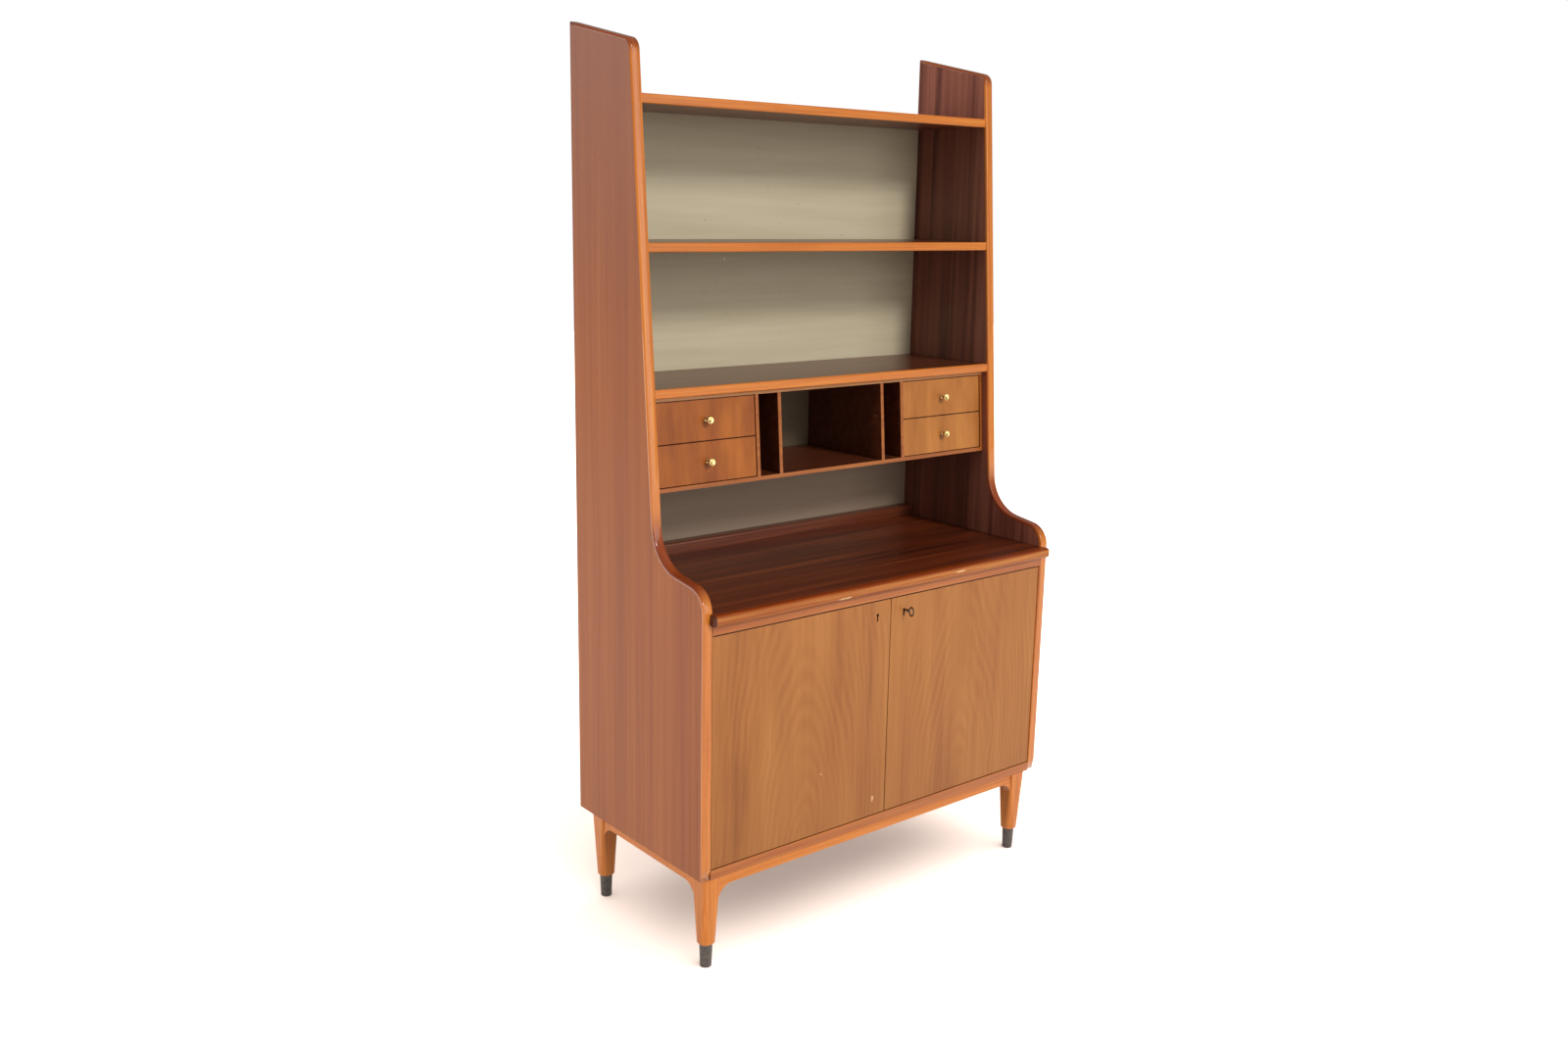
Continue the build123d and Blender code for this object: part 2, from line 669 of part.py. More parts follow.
key_tip_y = door_back_y + lock_depth
key_front_y = -overall_depth / 2
shaft_front_y = key_front_y + bow_length * (3 + bow_hole) / 4  # ends in the middle of the ring's wall
with BuildPart() as key:
    with BuildSketch(Plane.XZ.offset(-key_tip_y)):
        with Locations((lock_x, keyhole_height)):
            Circle(key_shaft_radius)
    extrude(amount=key_tip_y - shaft_front_y)
    # collar in front of the door
    with BuildSketch(Plane.XZ.offset(-(door_face_y - key_collar_gap))):
        with Locations((lock_x, keyhole_height)):
            Circle(key_collar_radius)
    extrude(amount=key_collar_length)
    # bit, pointing down inside the lock
    with BuildSketch(Plane.YZ.offset(lock_x - key_bit_thickness / 2)):
        with Locations((door_back_y + key_bit_setback, keyhole_height - key_bit_height / 2)):
            Rectangle(key_bit_width, key_bit_height)
    extrude(amount=key_bit_thickness)
    # ring bow, upright like the bit
    with BuildSketch(Plane.YZ.offset(lock_x - bow_thickness / 2)):
        with Locations((key_front_y + bow_length / 2, keyhole_height)):
            Ellipse(bow_length / 2, bow_height / 2)
            Ellipse(bow_length / 2 * bow_hole, bow_height / 2 * bow_hole, mode=Mode.SUBTRACT)
    extrude(amount=bow_thickness)
save(key, "key")

# ---- Base: tapered legs, ferrules and shaped rails ----
leg_places = {
    "front_left": (-leg_x, forward(leg_front)),
    "front_right": (leg_x, forward(leg_front)),
    "back_left": (-leg_x, forward(leg_back)),
    "back_right": (leg_x, forward(leg_back)),
}
centred_low = (Align.CENTER, Align.CENTER, Align.MIN)
legs = {}
for leg_name, leg_place in leg_places.items():
    with BuildPart() as leg:
        with BuildSketch(Plane.XY.offset(carcass_bottom)):
            with Locations(leg_place):
                RectangleRounded(leg_width, leg_width, leg_top_round)
        with BuildSketch(Plane.XY.offset(ankle_height)):
            with Locations(leg_place):
                RectangleRounded(ankle_width, ankle_width, ankle_width / 2 - ankle_flat)
        loft()
        fillet(leg.faces().sort_by(Axis.Z)[0].edges(), ankle_round)
        spigot_height = ankle_height - ferrule_wall
        with Locations((*leg_place, ferrule_wall)):
            Cone(
                ferrule_tip_radius - ferrule_wall,
                ferrule_radius - ferrule_wall,
                spigot_height,
                align=centred_low,
            )
    legs[leg_name] = leg
    save(leg, f"leg_{leg_name}")

with BuildPart() as ferrules:
    with Locations(*[(x, y, 0) for x, y in leg_places.values()]):
        Cone(ferrule_tip_radius, ferrule_radius, ankle_height, align=centred_low)
    fillet(ferrules.faces().group_by(Axis.Z)[0].edges(), ferrule_foot_round)
    for leg in legs.values():
        add(leg.part, mode=Mode.SUBTRACT)
save(ferrules, "ferrules")


def rail_face(half_span, leg_face):
    """Rail seen square on, from leg centre to leg centre, swept down into each leg by an arc."""
    low = carcass_bottom - rail_drop
    end = leg_face + rail_embed
    sweep = radians(rail_arc_sweep)
    arc_start = end - rail_arc_radius * sin(sweep)
    arc_low = low - rail_arc_radius * (1 - cos(sweep))
    half_way = (
        arc_start + rail_arc_radius * sin(sweep / 2),
        low - rail_arc_radius * (1 - cos(sweep / 2)),
    )
    with BuildSketch() as face:
        with BuildLine():
            Line((0, carcass_bottom), (half_span, carcass_bottom))
            Line((half_span, carcass_bottom), (half_span, arc_low))
            Line((half_span, arc_low), (end, arc_low))
            ThreePointArc((end, arc_low), half_way, (arc_start, low))
            Line((arc_start, low), (0, low))
            mirror(about=Plane.YZ)
        make_face()
    return face.sketch


leg_face_x = leg_x - leg_width / 2
rail_x = leg_x + leg_width / 2 - rail_setback
for rail_name, rail_y in (
    ("front", forward(leg_front + leg_width / 2 - rail_setback)),
    ("back", forward(leg_back - leg_width / 2 + rail_setback) - rail_thickness),
):
    with BuildPart() as rail:
        with BuildSketch(Plane.XZ.offset(-rail_y)):
            add(rail_face(leg_x, leg_face_x))
        extrude(amount=-rail_thickness)
        for leg in legs.values():
            add(leg.part, mode=Mode.SUBTRACT)
    save(rail, f"base_rail_{rail_name}")

leg_mid_y = forward((leg_front + leg_back) / 2)
half_run = (leg_front - leg_back) / 2
for side_name, side in sides.items():
    low_x = side * rail_x if side < 0 else rail_x - rail_thickness
    side_plane = Plane(origin=(low_x, leg_mid_y, 0), x_dir=(0, 1, 0), z_dir=(1, 0, 0))
    with BuildPart() as rail:
        with BuildSketch(side_plane):
            add(rail_face(half_run, half_run - leg_width / 2))
        extrude(amount=rail_thickness)
        for leg in legs.values():
            add(leg.part, mode=Mode.SUBTRACT)
    save(rail, f"base_rail_{side_name}")
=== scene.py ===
import json
from math import acos, atan, atan2, cos, hypot, pi, radians, sin, sqrt, tan

import bmesh
import bpy
import numpy as np
from mathutils import Matrix, Vector


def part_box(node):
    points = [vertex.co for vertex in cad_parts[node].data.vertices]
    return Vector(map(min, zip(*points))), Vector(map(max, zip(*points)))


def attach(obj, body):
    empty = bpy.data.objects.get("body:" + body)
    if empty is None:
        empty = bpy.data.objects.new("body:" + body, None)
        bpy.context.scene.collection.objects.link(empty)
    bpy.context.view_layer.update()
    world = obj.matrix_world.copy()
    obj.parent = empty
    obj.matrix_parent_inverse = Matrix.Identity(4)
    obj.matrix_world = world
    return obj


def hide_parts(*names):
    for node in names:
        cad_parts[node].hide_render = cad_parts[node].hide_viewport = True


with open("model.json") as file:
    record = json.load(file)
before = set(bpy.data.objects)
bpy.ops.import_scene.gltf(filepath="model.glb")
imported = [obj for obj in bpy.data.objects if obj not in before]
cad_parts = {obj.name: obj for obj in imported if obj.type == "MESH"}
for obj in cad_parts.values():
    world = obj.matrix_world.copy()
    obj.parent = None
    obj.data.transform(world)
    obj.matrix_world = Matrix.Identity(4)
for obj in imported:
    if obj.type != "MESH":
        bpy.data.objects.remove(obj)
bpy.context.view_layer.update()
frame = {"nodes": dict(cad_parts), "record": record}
nodes = frame["nodes"]
SIDES = {"left": -1, "right": 1}
ROWS = ("upper", "lower")

# ---------------------------------------------------------------- places, in metres, from the frame
MM = 0.001
lipping_low, lipping_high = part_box("side_lipping_right")
inner_x, front_y, foot_z = lipping_low
outer_x, back_y, head_z = lipping_high
door_low, door_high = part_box("door_right")
unit_low, unit_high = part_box("unit_ends")
nosing_low, nosing_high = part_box("writing_lipping")
nosing_half = nosing_high.x
nosing_face = nosing_low.y
desk_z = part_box("writing_board")[1].z
sheet_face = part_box("back_sheet_lower")[0].y
drawer_tops = [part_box(f"drawer_{row}_left_front")[1].z for row in ROWS]

# outline of the side panels: slanted front edge, round nose, hollow scoop, sloping top
edge_lean = 0.0788  # the slanted edge goes back by this much for each metre up
slant_z = 880.0 * MM  # a height just above the scoop, and the panel's depth there
slant_depth = 278.0 * MM
edge_line = back_y - slant_depth - edge_lean * slant_z  # y of the slanted edge, carried to the floor
nose_radius = 47.5 * MM
scoop_radius = 88.0 * MM
scoop_z = 873.5 * MM
top_slope = radians(12.1)
top_corner_radius = 25.0 * MM
foot_radius = 5.5 * MM
lipping_depth = 6.0 * MM
lipping_round = 3.0 * MM

unit_front_line = edge_line + 20.0 * MM  # the drawers' faces lean with the slanted edge
knob_seat = 1.5 * MM  # how far a knob's collar is let into the drawer's face
keyhole_x = 37.0 * MM
keyhole_z = 653.0 * MM
bit_from_tip = 11.6 * MM

sheen_z = 1.1  # painted sheen: the outsides of the panels are greyer from here up, for the reflection there

# marks of wear: centre, and half size along X, Y and Z
nosing_chips = [
    ((-0.1440, nosing_face, desk_z - 17.0 * MM), (22.0 * MM, 8.0 * MM, 2.6 * MM)),
    ((0.1760, nosing_face, desk_z - 10.0 * MM), (26.0 * MM, 8.0 * MM, 2.0 * MM)),
]
door_scuffs = [
    ((-0.0352, door_low.y, 0.2570), (5.0 * MM, 8.0 * MM, 8.0 * MM)),
    ((-0.1787, door_low.y, 0.3480), (2.5 * MM, 8.0 * MM, 2.5 * MM)),
]
sheet_chip = ((-0.106, sheet_face, 1.352), (2.0 * MM, 6.0 * MM, 5.0 * MM))


# ---------------------------------------------------------------- nodes
def srgb(code):
    """Linear RGBA from an sRGB hex colour such as 'C48C5A'."""
    parts = [int(code[i : i + 2], 16) / 255 for i in (0, 2, 4)]
    return [c / 12.92 if c <= 0.04045 else ((c + 0.055) / 1.055) ** 2.4 for c in parts] + [1.0]


def add(tree, kind, links=(), out=0, shades=(), **settings):
    """Adds a node and gives one of its outputs, or all of them where out is None.

    Links are what goes into its inputs, by name or number: sockets or plain values. Shades are a
    ramp's colours, evenly spaced. By number, a MapRange has 0 the value, 1 and 2 the range that it
    comes from, and 3 and 4 the range that it goes to, which is 0 to 1 unless said. A Mix has 0 the
    factor, 2 and 3 its numbers, and 6 and 7 its colours, the second of which goes over the first.
    """
    made = tree.nodes.new("ShaderNode" + kind)
    for name, value in settings.items():
        setattr(made, name, value)
    if shades:
        ramp = made.color_ramp
        while len(ramp.elements) < len(shades):
            ramp.elements.new(1.0)
        for number, (element, code) in enumerate(zip(ramp.elements, shades)):
            element.position = number / (len(shades) - 1)
            element.color = srgb(code)
    for name, value in dict(links).items():
        if isinstance(value, bpy.types.NodeSocket):
            tree.links.new(value, made.inputs[name])
        else:
            made.inputs[name].default_value = value
    return made.outputs if out is None else made.outputs[out]


# a Mix that lays one colour over another, and one that multiplies them
OVER = {"data_type": "RGBA", "out": 2}
TIMES = {"data_type": "RGBA", "out": 2, "blend_type": "MULTIPLY"}
# blobs with ragged outlines
RAGGED = {"detail": 2.0, "roughness": 0.6}


def new_material(name):
    """An empty node material and its tree."""
    made = bpy.data.materials.new(name)
    made.use_nodes = True
    made.node_tree.nodes.clear()
    return made, made.node_tree


def finish_surface(tree, colour, sockets, height=None, bump=0.0):
    """Principled shader of the given colour and sockets; a height of 0 to 1 stands bump metres high."""
    links = {"Base Color": colour, **sockets}
    if height is not None:
        relief = {"Height": height, "Strength": 1.0, "Distance": bump}
        links["Normal"] = add(tree, "Bump", relief)
    add(tree, "OutputMaterial", {"Surface": add(tree, "BsdfPrincipled", links)}, out=None)


def lacquer(rough, coat, coat_rough, shine):
    """Sockets of lacquered wood: its index is 1.5, and the coat is the clear film where it is thick."""
    return {
        "Roughness": rough,
        "Coat Weight": coat,
        "Coat Roughness": coat_rough,
        "IOR": 1.5,
        "Specular IOR Level": shine,
    }


# ---------------------------------------------------------------- patterns, from sizes in mm
def blobs(tree, place, sizes_mm, detail=2.0, roughness=0.5, shift=0.0):
    """Soft random blobs, 0 to 1, that are as large as the given sizes along X, Y and Z."""
    scale = tuple(1.0 / (size * MM) for size in sizes_mm)
    mapped = add(tree, "Mapping", {"Vector": place, "Scale": scale, "Location": (shift,) * 3})
    links = {"Vector": mapped, "Scale": 1.0, "Detail": detail, "Roughness": roughness}
    return add(tree, "TexNoise", links, out="Fac")


def along(axis, across_mm, along_mm):
    """Blob sizes for a grain that runs along one axis."""
    return tuple(along_mm if letter == axis else across_mm for letter in "XYZ")


def figure(tree, place, axis, layers, spread):
    """Sum of stretched blobs, (across mm, along mm, weight) each, spread to fill 0 to 1.

    The narrowest lines, 2 to 3 mm, are drawn several times coarser than real grain, to show.
    """
    total = 0.0
    for number, (across_mm, along_mm, weight) in enumerate(layers):
        layer = blobs(tree, place, along(axis, across_mm, along_mm), 2.0, 0.55, 1.7 * number)
        total = add(tree, "Math", {0: layer, 1: weight, 2: total}, operation="MULTIPLY_ADD")
    middle = sum(weight for _, _, weight in layers) / 2
    return add(tree, "MapRange", {0: total, 1: middle - spread, 2: middle + spread})


def pores(tree, colour, place, axis, across_mm, along_mm, depth):
    """Darkens short narrow dashes along the grain, as open pores do under lacquer.

    Real pores are 0.2 mm wide and a few mm long. They are drawn about four times as coarse, to show.
    """
    dashes = blobs(tree, place, along(axis, across_mm, along_mm), 1.0, 0.5, 5.3)
    shade = add(tree, "MapRange", {0: dashes, 1: 0.6, 2: 0.72, 3: 1.0, 4: 1.0 - depth})
    return add(tree, "Mix", {0: 1.0, 6: colour, 7: shade}, **TIMES)


def before_plane(tree, place, lean, line, play=0.6 * MM):
    """1 where y is in front of the plane y = line + lean z, to within a little play, else 0."""
    _, y, z = add(tree, "SeparateXYZ", {0: place}, out=None)
    level = add(tree, "Math", {0: z, 1: -lean, 2: y}, operation="MULTIPLY_ADD")
    return add(tree, "MapRange", {0: level, 1: line + play, 2: line + 2 * play, 3: 1.0, 4: 0.0})


def spot_mask(tree, place, centre, size, ragged):
    """1 inside a ragged oval round a point, else 0: the distance in sizes, plus blobs, against 1.5."""
    scale = tuple(1.0 / value for value in size)
    middle = tuple(-c * k for c, k in zip(centre, scale))
    mapped = add(tree, "Mapping", {"Vector": place, "Scale": scale, "Location": middle})
    distance = add(tree, "VectorMath", {0: mapped}, out="Value", operation="LENGTH")
    level = add(tree, "Math", {0: ragged, 1: 1.6, 2: distance}, operation="MULTIPLY_ADD")
    return add(tree, "MapRange", {0: level, 1: 1.35, 2: 1.6, 3: 1.0, 4: 0.0})


def paint_gap_shade(tree, colour, z, tops):
    """Painted shade: a dark band on the edges whose tops are at the given heights, on their last half
    mm, for the shade of the gap above them.
    """
    for top in tops:
        shade_band = add(tree, "MapRange", {0: z, 1: top - 0.9 * MM, 2: top - 0.4 * MM})
        past = {0: z, 1: top + 0.3 * MM, 2: top + 0.4 * MM, 3: 1.0, 4: 0.0}
        links = {0: shade_band, 1: add(tree, "MapRange", past)}
        mask = add(tree, "Math", links, operation="MULTIPLY")
        colour = add(tree, "Mix", {0: mask, 6: colour, 7: srgb(GAP_SHADE)}, **OVER)
    return colour


# ---------------------------------------------------------------- materials
def wood(
    name, axis, codes, layers, spread=0.16, rough=0.4, coat=0.2, shine=0.5, edge=None, tops=()
):
    """Wood under lacquer: its grain's axis, colours from dark to light, and its figure's layers.

    Shine is the specular level. Edge is a lighter solid front edge, (lean and line of the plane it
    stands before, dark, light), and tops are the heights of edges that get a dark band of painted shade
    for the gap above them.
    """
    made, tree = new_material(name)
    place = add(tree, "TexCoord", out="Object")
    value = figure(tree, place, axis, layers, spread)
    colour = add(tree, "ValToRGB", {"Fac": value}, shades=codes)
    colour = pores(tree, colour, place, axis, *PORES)
    # painted shade on the top edges, under the gaps above them
    if tops:
        colour = paint_gap_shade(tree, colour, add(tree, "SeparateXYZ", {0: place}, out=2), tops)
    if edge:
        lean, line, *edge_codes = edge
        lines = figure(tree, place, "X", [(3.0, 200.0, 0.6), (12.0, 400.0, 0.4)], 0.15)
        edge_colour = add(tree, "ValToRGB", {"Fac": lines}, shades=edge_codes)
        mask = before_plane(tree, place, lean, line)
        colour = add(tree, "Mix", {0: mask, 6: colour, 7: edge_colour}, **OVER)
    finish_surface(tree, colour, lacquer(rough, coat, 0.12, shine), value, GRAIN_RELIEF)
    return made


def flame_teak(name, codes):
    """Crown-cut teak veneer, one leaf on each door: pointed arches that lean into straight sides.

    The growth rings are cylinders round a pith that leans out of the veneer's plane, so a ring shows
    where sqrt(dx^2 + (d0 + t z)^2) is constant; dx is the distance from the figure's middle line.
    """
    made, tree = new_material(name)
    place = add(tree, "TexCoord", out="Object")
    x, y, z = add(tree, "SeparateXYZ", {0: place}, out=None)
    middle = (door_low.x + door_high.x) / 2
    wander = 26 * MM  # how far the figure's middle line strays from the middle of the door
    nearest, farthest = 10 * MM, 125 * MM  # depth of the pith behind the door's foot and its head
    ring_width = 13.0 * MM
    side_way = add(tree, "Math", {0: x}, operation="ABSOLUTE")
    drift = blobs(tree, place, (160.0, 160.0, 420.0))
    drift = add(tree, "MapRange", {0: drift, 1: 0.2, 2: 0.8, 3: -middle - wander, 4: -middle + wander})
    across = add(tree, "Math", {0: side_way, 1: drift}, operation="ADD")
    lean = add(tree, "MapRange", {0: z, 1: door_low.z, 2: door_high.z, 3: nearest, 4: farthest})
    spot = add(tree, "CombineXYZ", {0: across, 1: lean})
    radius = add(tree, "VectorMath", {0: spot}, out="Value", operation="LENGTH")
    uneven = blobs(tree, place, (60.0, 60.0, 420.0))
    uneven = add(tree, "MapRange", {0: uneven, 1: 0.2, 2: 0.8, 3: 0.0, 4: 4.0})
    links = {0: radius, 1: 2 * pi / ring_width, 2: uneven}
    turns = add(tree, "Math", links, operation="MULTIPLY_ADD")
    ring = add(tree, "Math", {0: turns}, operation="SINE")
    ring = add(tree, "MapRange", {0: ring, 1: -1.0, 2: 1.0})
    lines = figure(tree, place, "Z", FLAME_LINES, 0.18)
    # the arches fade in and out among the straight lines
    strength = blobs(tree, place, (60.0, 60.0, 180.0), shift=3.1)
    strength = add(tree, "MapRange", {0: strength, 1: 0.4, 2: 0.66, 3: 0.02, 4: 0.26})
    value = add(tree, "Mix", {0: strength, 2: lines, 3: ring}, data_type="FLOAT")
    colour = add(tree, "ValToRGB", {"Fac": value}, shades=codes)
    colour = pores(tree, colour, place, "Z", *FLAME_PORES)
    # the doors' colour is a little darker towards the floor
    dim = add(tree, "MapRange", {0: z, 1: door_low.z, 2: door_high.z, 3: 0.86, 4: 1.0})
    colour = add(tree, "Mix", {0: 1.0, 6: colour, 7: dim}, **TIMES)
    # painted shade: a dark band on the door's top edge, in the gap above it
    colour = paint_gap_shade(tree, colour, z, [door_high.z])
    ragged = blobs(tree, place, (5.0, 5.0, 5.0), **RAGGED)
    for centre, size in door_scuffs:
        mask = spot_mask(tree, place, centre, size, ragged)
        colour = add(tree, "Mix", {0: mask, 6: colour, 7: srgb(SCUFF)}, **OVER)
    # painted shade: the cut edge inside each keyhole is coloured nearly black, for the shade in the
    # hole: inside all of these limits
    limits = [
        {0: side_way, 1: keyhole_x + 5 * MM, 2: keyhole_x + 6 * MM, 3: 1.0, 4: 0.0},
        {0: z, 1: keyhole_z - 12 * MM, 2: keyhole_z - 11 * MM},
        {0: y, 1: door_low.y + 0.3 * MM, 2: door_low.y + 0.8 * MM},
        {0: side_way, 1: keyhole_x - 6 * MM, 2: keyhole_x - 5 * MM},
    ]
    mask = 1.0
    for limit in limits:
        mask = add(tree, "Math", {0: add(tree, "MapRange", limit), 1: mask}, operation="MULTIPLY")
    colour = add(tree, "Mix", {0: mask, 6: colour, 7: srgb(KEYHOLE_SHADE)}, **OVER)
    finish_surface(tree, colour, lacquer(0.5, 0.04, 0.3, 0.35), lines, GRAIN_RELIEF)
    return made


def worn_nosing(name, codes):
    """Solid front edge of the writing board: red-brown lacquer on top, worn tan face, pale chips."""
    made, tree = new_material(name)
    place = add(tree, "TexCoord", out="Object")
    lines = figure(tree, place, "X", [(2.5, 160.0, 0.5), (9.0, 420.0, 0.5)], 0.14)
    colour = add(tree, "ValToRGB", {"Fac": lines}, shades=codes)
    x, _, z = add(tree, "SeparateXYZ", {0: place}, out=None)
    # the lacquer is still thick on top
    links = {0: z, 1: desk_z - 6 * MM, 2: desk_z - 0.5 * MM}
    thick = add(tree, "MapRange", links, interpolation_type="SMOOTHSTEP")
    colour = add(tree, "Mix", {0: thick, 6: colour, 7: srgb(THICK_LACQUER)}, **TIMES)
    ends = add(tree, "Math", {0: x}, operation="ABSOLUTE")
    end_grain = add(tree, "MapRange", {0: ends, 1: nosing_half - 2.5 * MM, 2: nosing_half - 1.2 * MM})
    colour = add(tree, "Mix", {0: end_grain, 6: colour, 7: srgb(END_GRAIN)}, **OVER)
    ragged = blobs(tree, place, (9.0, 9.0, 2.0), 3.0, 0.6)
    bare = 0.0
    for centre, size in nosing_chips:
        links = {0: spot_mask(tree, place, centre, size, ragged), 1: 1.0, 2: bare}
        bare = add(tree, "Math", links, operation="MULTIPLY_ADD")
    colour = add(tree, "Mix", {0: bare, 6: colour, 7: srgb(BARE_TEAK)}, **OVER)
    gloss = add(tree, "MapRange", {0: thick, 1: 0.0, 2: 1.0, 3: 0.42, 4: 0.22})
    finish_surface(tree, colour, lacquer(gloss, 0.12, 0.06, 0.22), lines, GRAIN_RELIEF)
    return made


def panel_veneer(name, codes, shaded_inner_codes):
    """Ribbon mahogany, grain upright: warm brown outside, greyer at the top as a painted sheen, and
    inside dark stripes, darker as painted shade.
    """
    made, tree = new_material(name)
    place = add(tree, "TexCoord", out="Object")
    x, _, z = add(tree, "SeparateXYZ", {0: place}, out=None)
    value = figure(tree, place, "Z", RIBBON, 0.15)
    colour = add(tree, "ValToRGB", {"Fac": value}, shades=codes)
    # painted sheen: greyer towards the top of the outside
    painted_sheen = add(tree, "MapRange", {0: z, 1: sheen_z, 2: head_z, 3: 0.0, 4: 0.45})
    colour = add(tree, "Mix", {0: painted_sheen, 6: colour, 7: srgb(PAINTED_SHEEN)}, **OVER)
    # painted shade: the inner faces take a darker copy of the veneer, for the shade between the panels
    stripes = figure(tree, place, "Z", STRIPES, 0.13)
    shaded_inner = add(tree, "ValToRGB", {"Fac": stripes}, shades=shaded_inner_codes)
    side_way = add(tree, "Math", {0: x}, operation="ABSOLUTE")
    links = {0: side_way, 1: inner_x + 0.5 * MM, 2: inner_x + 1 * MM, 3: 1.0, 4: 0.0}
    inside = add(tree, "MapRange", links)
    colour = add(tree, "Mix", {0: inside, 6: colour, 7: shaded_inner}, **OVER)
    colour = pores(tree, colour, place, "Z", *PORES)
    finish_surface(tree, colour, lacquer(0.48, 0.04, 0.12, 0.42), value, GRAIN_RELIEF)
    return made


def painted_board(name):
    """Hardboard under matt grey-beige paint: faint rolled streaks along the width and a few specks, and
    painted shade in the recesses.
    """
    made, tree = new_material(name)
    place = add(tree, "TexCoord", out="Object")
    streaks = figure(tree, place, "X", [(14.0, 260.0, 0.5), (45.0, 500.0, 0.5)], 0.2)
    colour = add(tree, "ValToRGB", {"Fac": streaks}, shades=PAINT)
    # painted shade: over the writing board, and more so behind the pigeonholes, the front of the board
    # is darkened for the shade in these recesses
    _, y, z = add(tree, "SeparateXYZ", {0: place}, out=None)
    behind = add(tree, "MapRange", {0: z, 1: unit_low.z - 1 * MM, 2: unit_low.z})
    recess_shade = add(tree, "Mix", {0: behind, 6: srgb(DESK_BAY_SHADE), 7: srgb(PIGEONHOLE_SHADE)}, **OVER)
    above = add(tree, "MapRange", {0: z, 1: unit_high.z, 2: unit_high.z + 1 * MM})
    recess_shade = add(tree, "Mix", {0: above, 6: recess_shade, 7: srgb("FFFFFF")}, **OVER)
    links = {0: y, 1: sheet_face + 0.5 * MM, 2: sheet_face + 1 * MM, 3: 1.0, 4: 0.0}
    links = {
        0: add(tree, "MapRange", links),
        1: add(tree, "MapRange", {0: z, 1: desk_z - 1 * MM, 2: desk_z}),
    }
    front = add(tree, "Math", links, operation="MULTIPLY")
    colour = add(tree, "Mix", {0: front, 6: colour, 7: recess_shade}, **TIMES)
    specks = add(tree, "MapRange", {0: blobs(tree, place, (5.0, 5.0, 5.0), 1.0), 1: 0.76, 2: 0.8})
    colour = add(tree, "Mix", {0: specks, 6: colour, 7: srgb(SPECK)}, **OVER)
    chip = spot_mask(tree, place, *sheet_chip, blobs(tree, place, (3.0, 3.0, 3.0), **RAGGED))
    colour = add(tree, "Mix", {0: chip, 6: colour, 7: srgb(BARE_BOARD)}, **OVER)
    # the paint's grit is drawn at 2.5 mm, several times too coarse, to show
    grit = blobs(tree, place, (2.5, 2.5, 2.5), **RAGGED)
    finish_surface(tree, colour, {"Roughness": 0.6, "IOR": 1.45}, grit, PAINT_RELIEF)
    return made


def cloudy(name, codes, cloud_mm, rough, metallic):
    """Metal or enamel with clouds of slightly different tone, the darker ones duller."""
    made, tree = new_material(name)
    place = add(tree, "TexCoord", out="Object")
    cloud = blobs(tree, place, (cloud_mm,) * 3, 3.0, 0.6)
    cloud = add(tree, "MapRange", {0: cloud, 1: 0.35, 2: 0.65})
    colour = add(tree, "ValToRGB", {"Fac": cloud}, shades=codes)
    gloss = add(tree, "MapRange", {0: cloud, 1: 0.0, 2: 1.0, 3: rough * 1.4, 4: rough * 0.8})
    finish_surface(tree, colour, {"Metallic": metallic, "Roughness": gloss})
    return made


def swept_wood(name, codes, dark_codes):
    """Solid lipping bent round the panel: its grain follows the edge by the piece's own UV, in metres.

    U runs along the edge and V round the section. The hollow, the nose and the top edge are darker and
    redder, as painted shade where they face up, under thicker, glossier lacquer.
    """
    made, tree = new_material(name)
    uv = add(tree, "UVMap", uv_map="edge")
    lines = figure(tree, uv, "X", [(2.2, 180.0, 0.5), (7.0, 400.0, 0.5)], 0.16)
    light = add(tree, "ValToRGB", {"Fac": lines}, shades=codes)
    dark = add(tree, "ValToRGB", {"Fac": lines}, shades=dark_codes)
    distance = add(tree, "SeparateXYZ", {0: uv})
    smooth = {"interpolation_type": "SMOOTHSTEP"}
    mask = 0.0
    for start, full, fading, end, depth in shaded_stretches:
        rise = add(tree, "MapRange", {0: distance, 1: start, 2: full, 3: 0.0, 4: depth}, **smooth)
        fall = add(tree, "MapRange", {0: distance, 1: fading, 2: end, 3: 1.0, 4: 0.0}, **smooth)
        mask = add(tree, "Math", {0: rise, 1: fall, 2: mask}, operation="MULTIPLY_ADD")
    colour = add(tree, "Mix", {0: mask, 6: light, 7: dark}, **OVER)
    colour = pores(tree, colour, uv, "X", *LIP_PORES)
    gloss = add(tree, "MapRange", {0: mask, 1: 0.0, 2: 1.0, 3: 0.4, 4: 0.22})
    finish_surface(tree, colour, lacquer(gloss, 0.6, 0.035, 0.25), lines, LIP_RELIEF)
    return made


